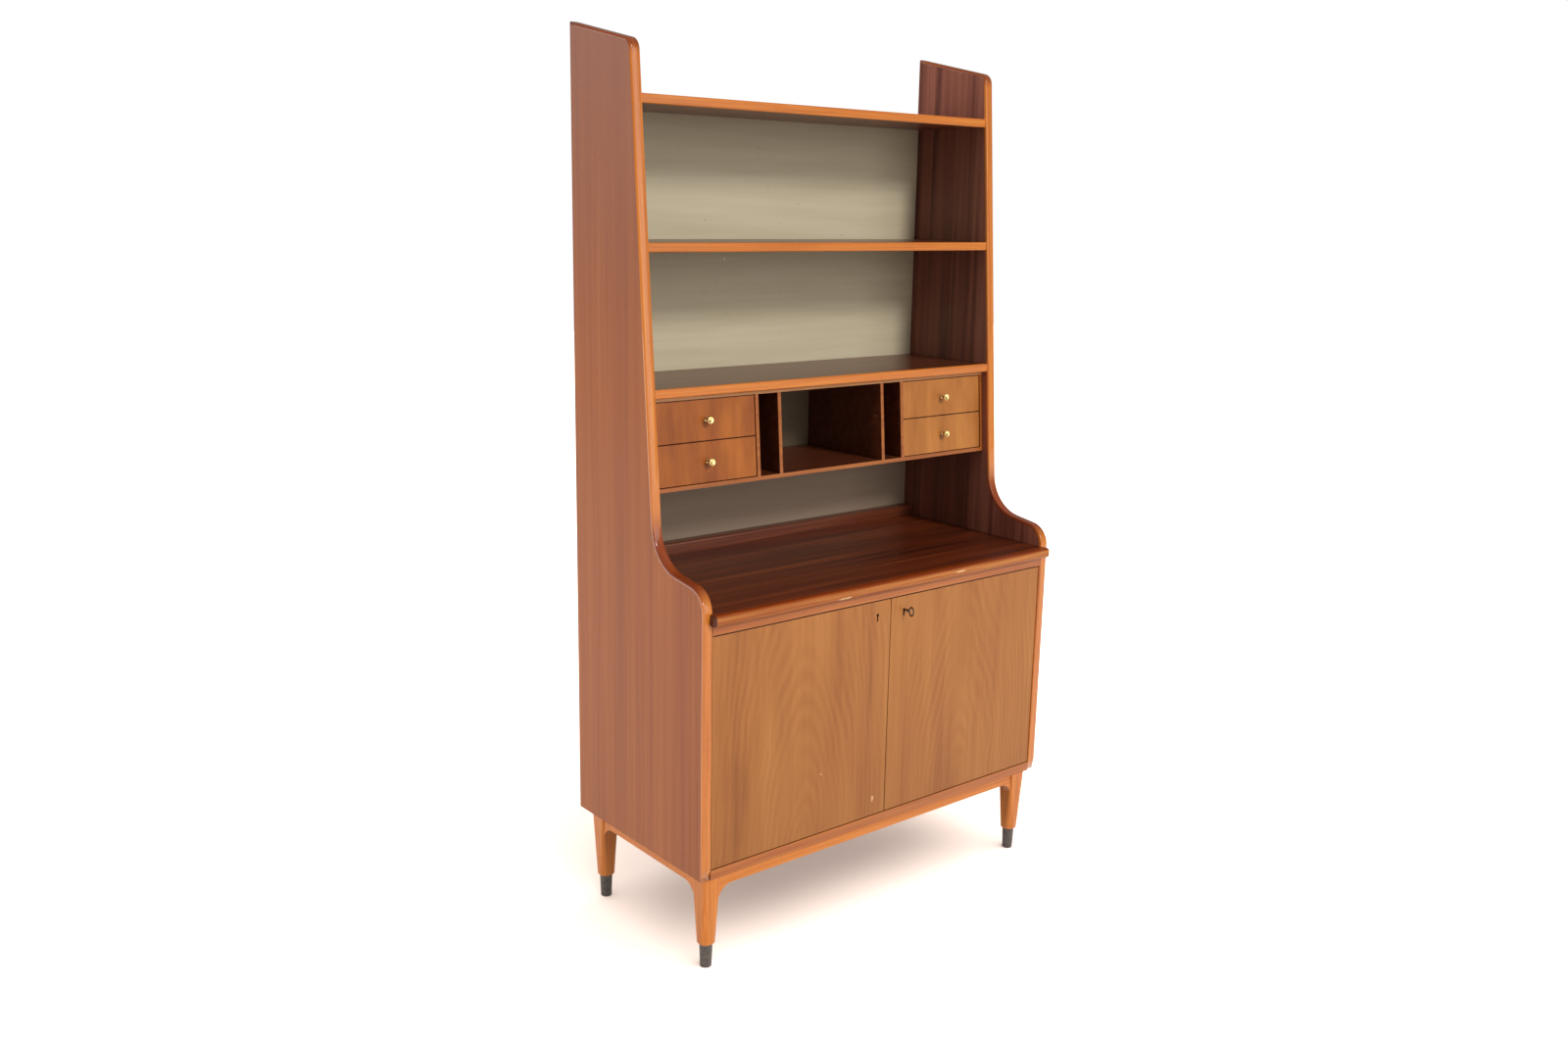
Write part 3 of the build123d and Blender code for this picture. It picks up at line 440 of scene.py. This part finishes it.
# ---------------------------------------------------------------- pieces worked out with numpy
def surface(name, points, uv=None):
    """Mesh of a grid of points (rows, columns, xyz) whose columns close into a ring.

    Each quad joins rows i, i+1 and columns j, j+1. A row that is all one point is a pole: its doubled
    points are merged. Then the faces are turned outwards.
    """
    rows, columns = points.shape[:2]
    row = np.arange(rows - 1)[:, None]
    column = np.arange(columns)[None, :]
    after = (column + 1) % columns
    quads = np.stack(
        [
            row * columns + column,
            row * columns + after,
            (row + 1) * columns + after,
            (row + 1) * columns + column,
        ],
        axis=-1,
    ).reshape(-1, 4)
    mesh = bpy.data.meshes.new(name)
    mesh.from_pydata(points.reshape(-1, 3).tolist(), [], quads.tolist())
    if uv is not None:
        # the uv grid has one more column than the points, so that the pattern closes round the section
        layer = mesh.uv_layers.new(name="edge")
        u = np.broadcast_to(row, (rows - 1, columns))
        v = np.broadcast_to(column, u.shape)
        corners = np.stack([uv[u, v], uv[u, v + 1], uv[u + 1, v + 1], uv[u + 1, v]], axis=2)
        layer.data.foreach_set("uv", corners.reshape(-1).astype(np.float32))
    work = bmesh.new()
    work.from_mesh(mesh)
    bmesh.ops.remove_doubles(work, verts=work.verts, dist=1e-6)
    bmesh.ops.recalc_face_normals(work, faces=work.faces)
    work.to_mesh(mesh)
    work.free()
    mesh.shade_smooth()
    piece = bpy.data.objects.new(name, mesh)
    bpy.context.collection.objects.link(piece)
    return piece


def closed_ends(points):
    """Adds a row at each end where every point is the row's middle, which closes the ends."""
    first, last = points[:1], points[-1:]
    caps = [np.broadcast_to(row.mean(axis=1, keepdims=True), row.shape) for row in (first, last)]
    return np.concatenate([caps[0], points, caps[1]])


def walk(start, heading, pieces, arc_step=2.0 * MM, run_step=24.0 * MM):
    """Places, headings and distances along a path in a plane made of straight runs and arcs.

    Each piece is (length, turn): the heading changes evenly by the turn over the length, so a run is
    straight at turn 0 and otherwise an arc of radius length / turn. The place is the integral of
    the heading's direction, in closed form for each piece.
    """
    places, headings, lengths = [np.array([start])], [np.array([heading])], [np.zeros(1)]
    for length, turn in pieces:
        count = max(int(np.ceil(length / (arc_step if turn else run_step))), 1)
        part = np.arange(1, count + 1) / count
        begin = headings[-1][-1]
        angle = begin + turn * part
        if turn:
            direction = [np.sin(angle) - sin(begin), cos(begin) - np.cos(angle)]
            offset = length / turn * np.stack(direction, axis=1)
        else:
            offset = length * part[:, None] * np.stack([np.cos(angle), np.sin(angle)], axis=1)
        places.append(places[-1][-1] + offset)
        headings.append(angle)
        lengths.append(lengths[-1][-1] + length * part)
    return np.concatenate(places), np.concatenate(headings), np.concatenate(lengths)


def edge_route():
    """The panel's outline from the foot over the nose, the scoop and the slanted edge to the back.

    Gives the path, and the distance along it at which each of its runs and arcs ends. The nose and
    the scoop are joined by their common inner tangent.
    """
    nose_y = front_y + nose_radius
    scoop_y = edge_line + edge_lean * scoop_z - scoop_radius * sqrt(1 + edge_lean**2)
    rise = scoop_z - desk_z
    run = nose_y - scoop_y
    radii = scoop_radius + nose_radius
    slope = acos(radii / hypot(run, rise)) - atan2(-run, rise)
    lean = atan(edge_lean)
    fall = tan(top_slope)
    corner_y = (edge_line + edge_lean * head_z - edge_lean * fall * back_y) / (1 - edge_lean * fall)
    corner_z = head_z - fall * (back_y - corner_y)
    slant_start = (scoop_y + scoop_radius * cos(lean), scoop_z - scoop_radius * sin(lean))
    corner_turn = pi / 2 - lean - top_slope
    tangent = top_corner_radius * tan(corner_turn / 2)
    nose_turn = pi / 2 - slope
    pieces = [
        (desk_z - foot_z, 0.0),
        (nose_radius * nose_turn, -nose_turn),
        (sqrt(hypot(run, rise) ** 2 - radii**2), 0.0),
        (scoop_radius * (nose_turn - lean), nose_turn - lean),
        (hypot(corner_y - slant_start[0], corner_z - slant_start[1]) - tangent, 0.0),
        (top_corner_radius * corner_turn, -corner_turn),
        (hypot(back_y - corner_y, head_z - corner_z) - tangent, 0.0),
    ]
    return walk((front_y, foot_z), pi / 2, pieces), np.cumsum([length for length, _ in pieces])


def lipping_section():
    """Section of the lipping, with round arrises: x across the panel, and depth under its outline."""
    corner = np.linspace(0, pi / 2, 7)
    width = outer_x - inner_x
    arc_x = lipping_round * (1 - np.cos(corner))
    arc_depth = -lipping_round * (1 - np.sin(corner))
    half_way = -(lipping_depth + lipping_round) / 2
    bottom = -lipping_depth
    x = [[0.0, 0.0], arc_x, [width / 2], width - arc_x[::-1], [width, width, width / 2]]
    depth = [[bottom, half_way], arc_depth, [0.0], arc_depth[::-1], [half_way, bottom, bottom]]
    return np.concatenate(x), np.concatenate(depth)


def side_lipping(side_name):
    """Solid lipping swept along the panel's outline: point = place(u) + normal(u) depth(v), x(v)."""
    places, headings, lengths = route
    x, section_depth = lipping_section()
    # the foot corner is a quarter circle: the outer face falls back towards the panel's lower end
    near_foot = np.clip(foot_radius - lengths, 0, foot_radius)
    limit = np.sqrt(foot_radius**2 - near_foot**2) - foot_radius
    depth = np.minimum(section_depth[None, :], limit[:, None])
    depth = np.maximum(depth, -lipping_depth)
    normal = np.stack([-np.sin(headings), np.cos(headings)], axis=1)
    yz = places[:, None, :] + normal[:, None, :] * depth[:, :, None]
    yz[:, :, 0] = np.minimum(yz[:, :, 0], back_y)
    xs = np.broadcast_to(SIDES[side_name] * (inner_x + x), depth.shape)
    points = np.concatenate([xs[:, :, None], yz], axis=2)
    steps = np.hypot(np.diff(x, append=x[0]), np.diff(section_depth, append=section_depth[0]))
    around = np.concatenate([[0.0], np.cumsum(steps)])
    uv = np.stack(np.broadcast_arrays(lengths[:, None], around[None, :]), axis=2)
    uv = np.concatenate([uv[:1], uv, uv[-1:]])
    piece = surface(f"edge_{side_name}", closed_ends(points), uv)
    piece.data.materials.append(finishes["side_lipping"])
    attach(piece, "carcass")
    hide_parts(f"side_lipping_{side_name}")


def rounded_box_section(low, high, radii, count):
    """Closed outline of a box in a plane, with its corners rounded by quarter circles.

    The radii are those of the corners low in front, high in front, high behind and low behind, and
    count is how many points each corner has. The outline runs in that order.
    """
    corners = [
        (low[0], low[1], pi * 1.5),
        (low[0], high[1], pi),
        (high[0], high[1], pi / 2),
        (high[0], low[1], 0.0),
    ]
    arcs = []
    for (a, b, start), radius in zip(corners, radii):
        turn = start - np.linspace(0, pi / 2, count)
        middle_a = a + (radius if a == low[0] else -radius)
        middle_b = b + (radius if b == low[1] else -radius)
        arc = [middle_a + radius * np.cos(turn), middle_b + radius * np.sin(turn)]
        arcs.append(np.stack(arc, axis=1))
    return np.concatenate(arcs)


def nosing():
    """Front edge of the writing board: a rounded section along X, eased at both ends, with chips.

    Point = (x, section(v)); near an end the section shrinks about its middle along a quarter circle,
    and at a chip the face sinks by depth times exp(-(dx/w)^2 - (dz/h)^2).
    """
    radii = (9.0 * MM, 6.0 * MM, 0.3 * MM, 0.3 * MM)
    section = rounded_box_section((nosing_face, nosing_low.z), (front_y, desk_z), radii, 9)
    length = 2 * nosing_half
    ease = 2.5 * MM
    chip_depth = 0.7 * MM
    near = ease * (1 - np.cos(np.linspace(0, pi / 2, 6)))
    # 460 rows along it, 2 mm apart, so that the chips are round
    reach = np.concatenate([near, np.linspace(ease, length - ease, 460)[1:-1], length - near[::-1]])
    x = reach - nosing_half
    from_end = np.minimum(np.minimum(reach, length - reach), ease)
    inset = ease - np.sqrt(ease**2 - (ease - from_end) ** 2)
    middle = section.mean(axis=0)
    half = (section.max(axis=0) - section.min(axis=0)) / 2
    yz = middle + (section - middle)[None] * (1 - inset[:, None, None] / half)
    for centre, size in nosing_chips:
        across = (x[:, None] - centre[0]) / size[0]
        up = (yz[:, :, 1] - centre[2]) / size[2]
        facing = yz[:, :, 0] < (nosing_face + front_y) / 2
        yz[:, :, 0] += facing * chip_depth * np.exp(-(across**2 + up**2))
    xs = np.broadcast_to(x[:, None, None], yz.shape[:2] + (1,))
    piece = surface("worn_front_edge", closed_ends(np.concatenate([xs, yz], axis=2)))
    piece.data.materials.append(finishes["writing_edge"])
    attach(piece, "writing_board")
    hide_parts("writing_lipping")


def turned(name, profile, origin, axis, columns):
    """Lathe work: point = origin + axis a + radius r (cos t, sin t) for each (a, r) of the profile."""
    axis = Vector(axis).normalized()
    across = axis.orthogonal().normalized()
    other = axis.cross(across)
    turn = np.linspace(0, 2 * pi, columns, endpoint=False)[:, None]
    ring = np.cos(turn) * np.array(across) + np.sin(turn) * np.array(other)
    profile = profile[:, None]
    points = np.array(origin) + profile[..., :1] * np.array(axis) + profile[..., 1:] * ring[None]
    return surface(name, points)


def smooth_profile(marks, count=8):
    """Profile through (place, radius) marks along Catmull-Rom curves, count points to a span."""
    marks = np.array(marks)
    ends = 2 * marks[:1] - marks[1:2], 2 * marks[-1:] - marks[-2:-1]
    padded = np.concatenate([ends[0], marks, ends[1]])
    t = np.linspace(0, 1, count, endpoint=False)[None, :, None]
    a, b, c, d = (padded[i : len(padded) - 3 + i, None, :] for i in range(4))
    square, cube = 2 * a - 5 * b + 4 * c - d, 3 * b - a - 3 * c + d
    curve = (2 * b + (c - a) * t + square * t**2 + cube * t**3) / 2
    return np.concatenate([curve.reshape(-1, 2), marks[-1:]])


def knob(node):
    """Brass knob: flat collar, thin waist and a round flared head with a dimple in its dished face.

    The marks are (distance from the seat, radius) in mm.
    """
    low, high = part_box(node)
    axis = (0, -1, edge_lean)
    front_low, front_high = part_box(node.replace("knob", "front"))
    z = (front_low.z + front_high.z) / 2
    origin = ((low.x + high.x) / 2, unit_front_line + edge_lean * z + knob_seat, z)
    collar = [(0.0, 0.0), (0.0, 4.2), (0.3, 4.4), (1.3, 4.4), (1.7, 4.0), (2.2, 3.0)]
    waist = [(2.6, 2.6), (6.5, 2.7), (10.0, 3.9)]
    head = [(12.6, 6.4), (13.6, 7.4), (14.8, 7.6), (15.9, 7.0)]
    dish = [(16.1, 6.2), (15.8, 4.6), (15.4, 2.6), (15.3, 1.6)]
    dimple = [(14.8, 1.2), (14.4, 0.6), (14.3, 0.0)]
    parts = [collar, smooth_profile(waist + head), smooth_profile(dish + dimple, 5)]
    profile = np.concatenate(parts) * MM
    piece = turned(node.replace("knob", "turned_knob"), profile, origin, axis, 48)
    piece.data.materials.append(finishes["brass"])
    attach(piece, node.removesuffix("_knob"))
    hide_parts(node)


def ring_bow(name, centre, half_y, half_z, thick_y, thick_x, columns=20, rows=64):
    """Oval ring in the YZ plane: a tube round (half_y cos u, half_z sin u) with an oval section."""
    u = np.linspace(0, 2 * pi, rows + 1)[:, None]
    v = np.linspace(0, 2 * pi, columns, endpoint=False)[None, :]
    radial = thick_y * np.cos(v)
    x = centre[0] + thick_x * np.sin(v) + 0 * u
    y = centre[1] + (half_y - thick_y + radial) * np.cos(u)
    z = centre[2] + (half_z - thick_y + radial) * np.sin(u)
    return surface(name, np.stack([x, y, z], axis=2))


def bead(start, width, height, shaft=2.1):
    """Marks of a turned bead on the key's shaft, in mm: radius = shaft + height sin(pi s / width)."""
    return [(start + s, shaft + height * sin(pi * s / width)) for s in np.linspace(0, width, 7)]


def old_key():
    """Key in the right-hand lock: ring bow, shaft turned with two beads, and a flat bit."""
    low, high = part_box("key")
    x = keyhole_x
    z = (low.z + high.z) / 2
    half_y, half_z = 8.0 * MM, (high.z - low.z) / 2
    start = low.y + 2 * half_y - 1.5 * MM  # the shaft begins inside the bow's inner edge
    end = (high.y - start) / MM
    marks = [(0.0, 0.0), (0.0, 2.0), (1.4, 2.1), *bead(1.6, 2.2, 1.1), *bead(4.4, 2.8, 1.4)]
    marks += [(8.0, 2.2), (end - 0.4, 2.2), (end, 1.8), (end, 0.0)]
    shaft = turned("key_shaft", np.array(marks) * MM, (x, start, z), (0, 1, 0), 28)
    bow = ring_bow("key_bow", (x, low.y + half_y, z), half_y, half_z, 1.7 * MM, 1.3 * MM)
    bit_y = high.y - bit_from_tip
    bit_low, bit_high = (bit_y - 1.8 * MM, z - 8 * MM), (bit_y + 1.8 * MM, z)
    section = rounded_box_section(bit_low, bit_high, (0.4 * MM,) * 4, 4)
    xs = np.array([x - 1.1 * MM, x + 1.1 * MM])[:, None, None]
    faces = [np.broadcast_to(xs, (2, len(section), 1)), np.broadcast_to(section, (2, *section.shape))]
    bit = surface("key_bit", closed_ends(np.concatenate(faces, axis=2)))
    for piece in (shaft, bow, bit):
        piece.data.materials.append(finishes["key_metal"])
        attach(piece, "key")
        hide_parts("key")


# ---------------------------------------------------------------- finishes
route, route_marks = edge_route()
foot_end, nose_end, _, scoop_end, slant_end, _, route_end = route_marks
# stretches of the edge darkened as painted shade where they face up: start, full, fading, end, and how
# strong
shaded_stretches = [
    (foot_end + 5 * MM, nose_end - 8 * MM, scoop_end - 40 * MM, scoop_end + 45 * MM, 1.0),
    (slant_end - 10 * MM, slant_end + 14 * MM, route_end, route_end + 10 * MM, 0.85),
]

# colours from dark to light
MAHOGANY = ["88461C", "965026", "A05829", "AA6230"]
# painted shade: a darker copy of the panels' veneer, for their inner faces
MAHOGANY_SHADED = ["5A2E22", "7C4636", "8C5240", "9A604C"]
SHELF = ["4C2010", "5E2C17", "723A20"]
DESK = ["401A0C", "682B13", "8A431E"]
LIP = ["B8621A", "CE7426", "DE8834"]
# painted shade: a darker, redder copy of the lipping's colours, for its up-facing stretches
LIP_SHADED = ["6C2610", "883A18", "9C4A22"]
NOSING = ["944818", "AE6226", "C67C38"]
TEAK = ["905422", "A6662F", "B27237", "BE7F43"]
DRAWER_LEFT = ["88440E", "9E5416", "B2641E"]
DRAWER_RIGHT = ["A06024", "B26E2E", "BE7A36"]
PLY = ["C7A67A", "DCC093"]

PAINT = ["B3A688", "BFB397"]
# tints that multiply what is under them: where lacquer is thick, and painted shade on the board in the
# recesses
THICK_LACQUER = "C89474"
DESK_BAY_SHADE, PIGEONHOLE_SHADE = "C4B4B4", "8A7C70"
# wear, and painted light: a painted sheen at the panels' tops, and painted shade on the edges in the
# gaps and in the keyholes
PAINTED_SHEEN, END_GRAIN, BARE_TEAK = "A4847E", "4A2218", "F0C890"
GAP_SHADE, SCUFF, KEYHOLE_SHADE = "2E140A", "D9A878", "0D0806"
SPECK, BARE_BOARD = "8E8166", "E8E4D8"

# how high the grain or grit stands
GRAIN_RELIEF, LIP_RELIEF, PAINT_RELIEF = 0.05 * MM, 0.04 * MM, 0.08 * MM
# pores: mm across, mm along, how dark
PORES, FLAME_PORES, LIP_PORES = (0.8, 9.0, 0.16), (0.9, 12.0, 0.14), (0.8, 9.0, 0.2)
# layers of figure: mm across, mm along, weight
RIBBON = [(55.0, 1600.0, 0.4), (16.0, 900.0, 0.4), (2.6, 260.0, 0.2)]
STRIPES = [(24.0, 1400.0, 0.65), (8.0, 500.0, 0.25), (2.4, 200.0, 0.1)]
PLAIN = [(20.0, 900.0, 0.4), (3.0, 240.0, 0.6)]
BROAD = [(70.0, 160.0, 0.5), (26.0, 300.0, 0.35), (3.0, 160.0, 0.15)]
DESK_LAYERS = [(45.0, 900.0, 0.35), (12.0, 500.0, 0.4), (3.0, 200.0, 0.25)]
FLAME_LINES = [(2.4, 200.0, 0.2), (14.0, 600.0, 0.25), (80.0, 500.0, 0.55)]

# lighter solid front edges: lean and line of the plane that they stand before, dark, light
shelf_edge = (0.0, front_y + 1.2 * MM, "9E5018", "B86A28")
unit_edge = (edge_lean, unit_front_line, "8A4410", "AC6220")
# painted light: the unit top's front edge is paler than the others, as if the shelf above cast no
# shadow on it
unit_top_lit_edge = (edge_lean, unit_front_line, "C98044", "E09C60")

dull_drawer = {"spread": 0.13, "rough": 0.45, "coat": 0.03, "shine": 0.3, "tops": drawer_tops}
dull_unit = {"rough": 0.4, "coat": 0.15, "shine": 0.35}
finishes = {
    # quarter-cut mahogany veneer, lacquered thin: satin, with soft upright ribbons and fine lines
    "side_veneer": panel_veneer("mahogany_ribbon_veneer", MAHOGANY, MAHOGANY_SHADED),
    # plain-cut mahogany veneer, lacquered: dark brown and satin, with a lighter solid front edge
    "shelf_veneer": wood(
        "mahogany_shelf_veneer", "X", SHELF, PLAIN, rough=0.35, coat=0.22, shine=0.35, edge=shelf_edge
    ),
    # the same board with less lacquer, in the hanging unit: duller, with a browner edge
    "unit_veneer": wood("mahogany_unit_veneer", "X", SHELF, PLAIN, edge=unit_edge, **dull_unit),
    # striped mahogany veneer, polished: long dark and red bands with a low sheen
    "writing_veneer": wood(
        "mahogany_polished_top", "X", DESK, DESK_LAYERS, spread=0.12, rough=0.36, coat=0.16, shine=0.26
    ),
    # solid teak, rubbed by arms: glossy red-brown on top, dull tan in front, pale where it is chipped
    "writing_edge": worn_nosing("worn_teak_nosing", NOSING),
    # solid teak, sanded and lacquered: bright orange, with fine lines and a soft gloss
    "solid_lipping": wood("lacquered_teak_lipping", "X", LIP, PLAIN, shine=0.35),
    # the same teak in the legs, with its grain upright and a little more gloss
    "leg_wood": wood("lacquered_teak_leg", "Z", LIP, PLAIN, shine=0.4),
    # crown-cut teak veneer under thin matt lacquer: tan, with faint pointed arches
    "door_veneer": flame_teak("teak_flame_veneer", TEAK),
    # teak veneer under thin matt lacquer: broad soft clouds, and a dark line of painted shade along the
    # top edge, for the gap above it
    "drawer_veneer": wood("teak_drawer_veneer", "Z", DRAWER_LEFT, BROAD, **dull_drawer),
    # hardboard under rolled matt paint: flat grey-beige with faint streaks and specks
    "back_board": painted_board("painted_hardboard"),
    # birch plywood, bare: pale, dry and matt
    "plywood": wood("birch_plywood", "Y", PLY, PLAIN, rough=0.6, coat=0.0),
    # brass, turned and polished, lightly tarnished: pale yellow with small sharp highlights
    "brass": cloudy("polished_brass", ("B99F66", "E2CC94"), 3.0, 0.2, 1.0),
    # steel, filed, and browned with age: dark, with a dull gleam
    "key_metal": cloudy("tarnished_steel", ("3A332E", "6B625A"), 2.0, 0.32, 1.0),
    # enamel, baked on metal: dark grey, with an even half gloss
    "ferrule_metal": cloudy("black_enamel", ("3B3632", "57504A"), 5.0, 0.42, 0.0),
    # steel, zinc plated: light grey, slightly mottled
    "steel": cloudy("zinc_plated_steel", ("8B8B88", "A8A8A4"), 4.0, 0.35, 1.0),
    # a lighter leaf of the drawers' veneer, on the right
    "drawer_right": wood("teak_pale_drawer_veneer", "Z", DRAWER_RIGHT, BROAD, **dull_drawer),
    # the unit's board again, its front edge paler still: painted light where the shelf above shades it
    "unit_top": wood("mahogany_unit_top_lit_edge", "X", SHELF, PLAIN, edge=unit_top_lit_edge, **dull_unit),
    # solid teak, bent round the panel: glossy, bright on the straights, darker red-brown on the hollow,
    # nose and top as painted shade
    "side_lipping": swept_wood("lacquered_teak_edge", LIP, LIP_SHADED),
}
for subpart in frame["record"]["subparts"]:
    mesh = nodes[subpart["node"]].data
    mesh.materials.clear()
    mesh.materials.append(finishes[subpart["material_slot"]])
nodes["writing_batten"].data.materials[0] = finishes["shelf_veneer"]
nodes["unit_top"].data.materials[0] = finishes["unit_top"]
for row in ROWS:
    nodes[f"drawer_{row}_right_front"].data.materials[0] = finishes["drawer_right"]
for side_name in SIDES:
    nodes[f"lock_case_{side_name}"].data.materials[0] = finishes["key_metal"]

for side_name in SIDES:
    side_lipping(side_name)
nosing()
old_key()
for drawer in [f"drawer_{row}_{side}" for row in ROWS for side in SIDES]:
    knob(f"{drawer}_knob")


# ---------------------------------------------------------------- studio
def studio_floor():
    """A plain pale paper floor, 24 m square, which lights nothing by itself."""
    bpy.ops.mesh.primitive_plane_add(size=24)
    floor = bpy.context.object
    floor.name = "studio_floor"
    floor.visible_diffuse = False
    made, tree = new_material("white_paper")
    # uncoated paper: matt, with no highlight to take the eye off the desk
    finish_surface(tree, srgb("F7E5D9"), {"Roughness": 0.9})
    floor.data.materials.append(made)
    return floor


def soft_sun(name, azimuth, elevation, width, strength, only=None, never=None, glossy=True):
    """A large far soft box: where it stands and how wide it looks, in degrees, and its strength.

    Azimuth goes from the front towards the right. It lights one object only, or all but one, and
    where it isn't glossy no reflection shows it.
    """
    lamp = bpy.data.lights.new(name, "SUN")
    lamp.angle = radians(width)
    lamp.energy = strength
    made = bpy.data.objects.new(name, lamp)
    turn, tilt = radians(azimuth), radians(elevation)
    source = Vector((sin(turn) * cos(tilt), -cos(turn) * cos(tilt), sin(tilt)))
    made.rotation_euler = (-source).to_track_quat("-Z", "Y").to_euler()
    made.visible_glossy = glossy
    bpy.context.collection.objects.link(made)
    receivers = bpy.data.collections.new(f"{name}_receivers")
    receivers.objects.link(only or never)
    made.light_linking.receiver_collection = receivers
    if never:
        receivers.collection_objects[0].light_linking.link_state = "EXCLUDE"


def studio_world(strength):
    """Dim room light on the desk; plain white to the camera."""
    world = bpy.data.worlds.new("studio")
    bpy.context.scene.world = world
    world.use_nodes = True
    tree = world.node_tree
    tree.nodes.clear()
    lit = add(tree, "Background", {0: srgb("FFFFFF"), 1: strength})
    seen = add(tree, "Background", {0: srgb("FFFFFF"), 1: 1.0})
    path = add(tree, "LightPath", out="Is Camera Ray")
    both = add(tree, "MixShader", {0: path, 1: lit, 2: seen})
    add(tree, "OutputWorld", {0: both}, out=None)


def camera():
    """The viewpoint: in front and to the left, above the writing board, looking a little down."""
    yaw, pitch, roll = radians(-39.36), radians(-12.55), radians(1.1)
    place = (-1.9245, -2.2010, 1.4646)
    view = bpy.data.cameras.new("camera")
    view.lens = 32.2
    view.sensor_width = 36.0
    made = bpy.data.objects.new("camera", view)
    ahead = Vector((-sin(yaw) * cos(pitch), cos(yaw) * cos(pitch), sin(pitch)))
    right = ahead.cross(Vector((0, 0, 1))).normalized()
    up = right.cross(ahead)
    across = right * cos(roll) + up * sin(roll)
    over = up * cos(roll) - right * sin(roll)
    turn = Matrix((across, over, -ahead)).transposed()
    made.matrix_world = Matrix.Translation(place) @ turn.to_4x4()
    bpy.context.collection.objects.link(made)
    bpy.context.scene.camera = made


floor = studio_floor()
studio_world(0.24)
soft_sun("front_box", 8.0, 33.0, 12.0, 1.7, never=floor)
soft_sun("front_fill", 12.0, 8.0, 50.0, 1.35, never=floor)
soft_sun("left_box", -97.0, 7.0, 30.0, 2.1, never=floor, glossy=False)
soft_sun("floor_dome", 0.0, 90.0, 125.0, 4.0, only=floor)
soft_sun("floor_fill", 20.0, 24.0, 110.0, 5.4, only=floor)
camera()
bpy.context.scene.view_settings.view_transform = "Standard"
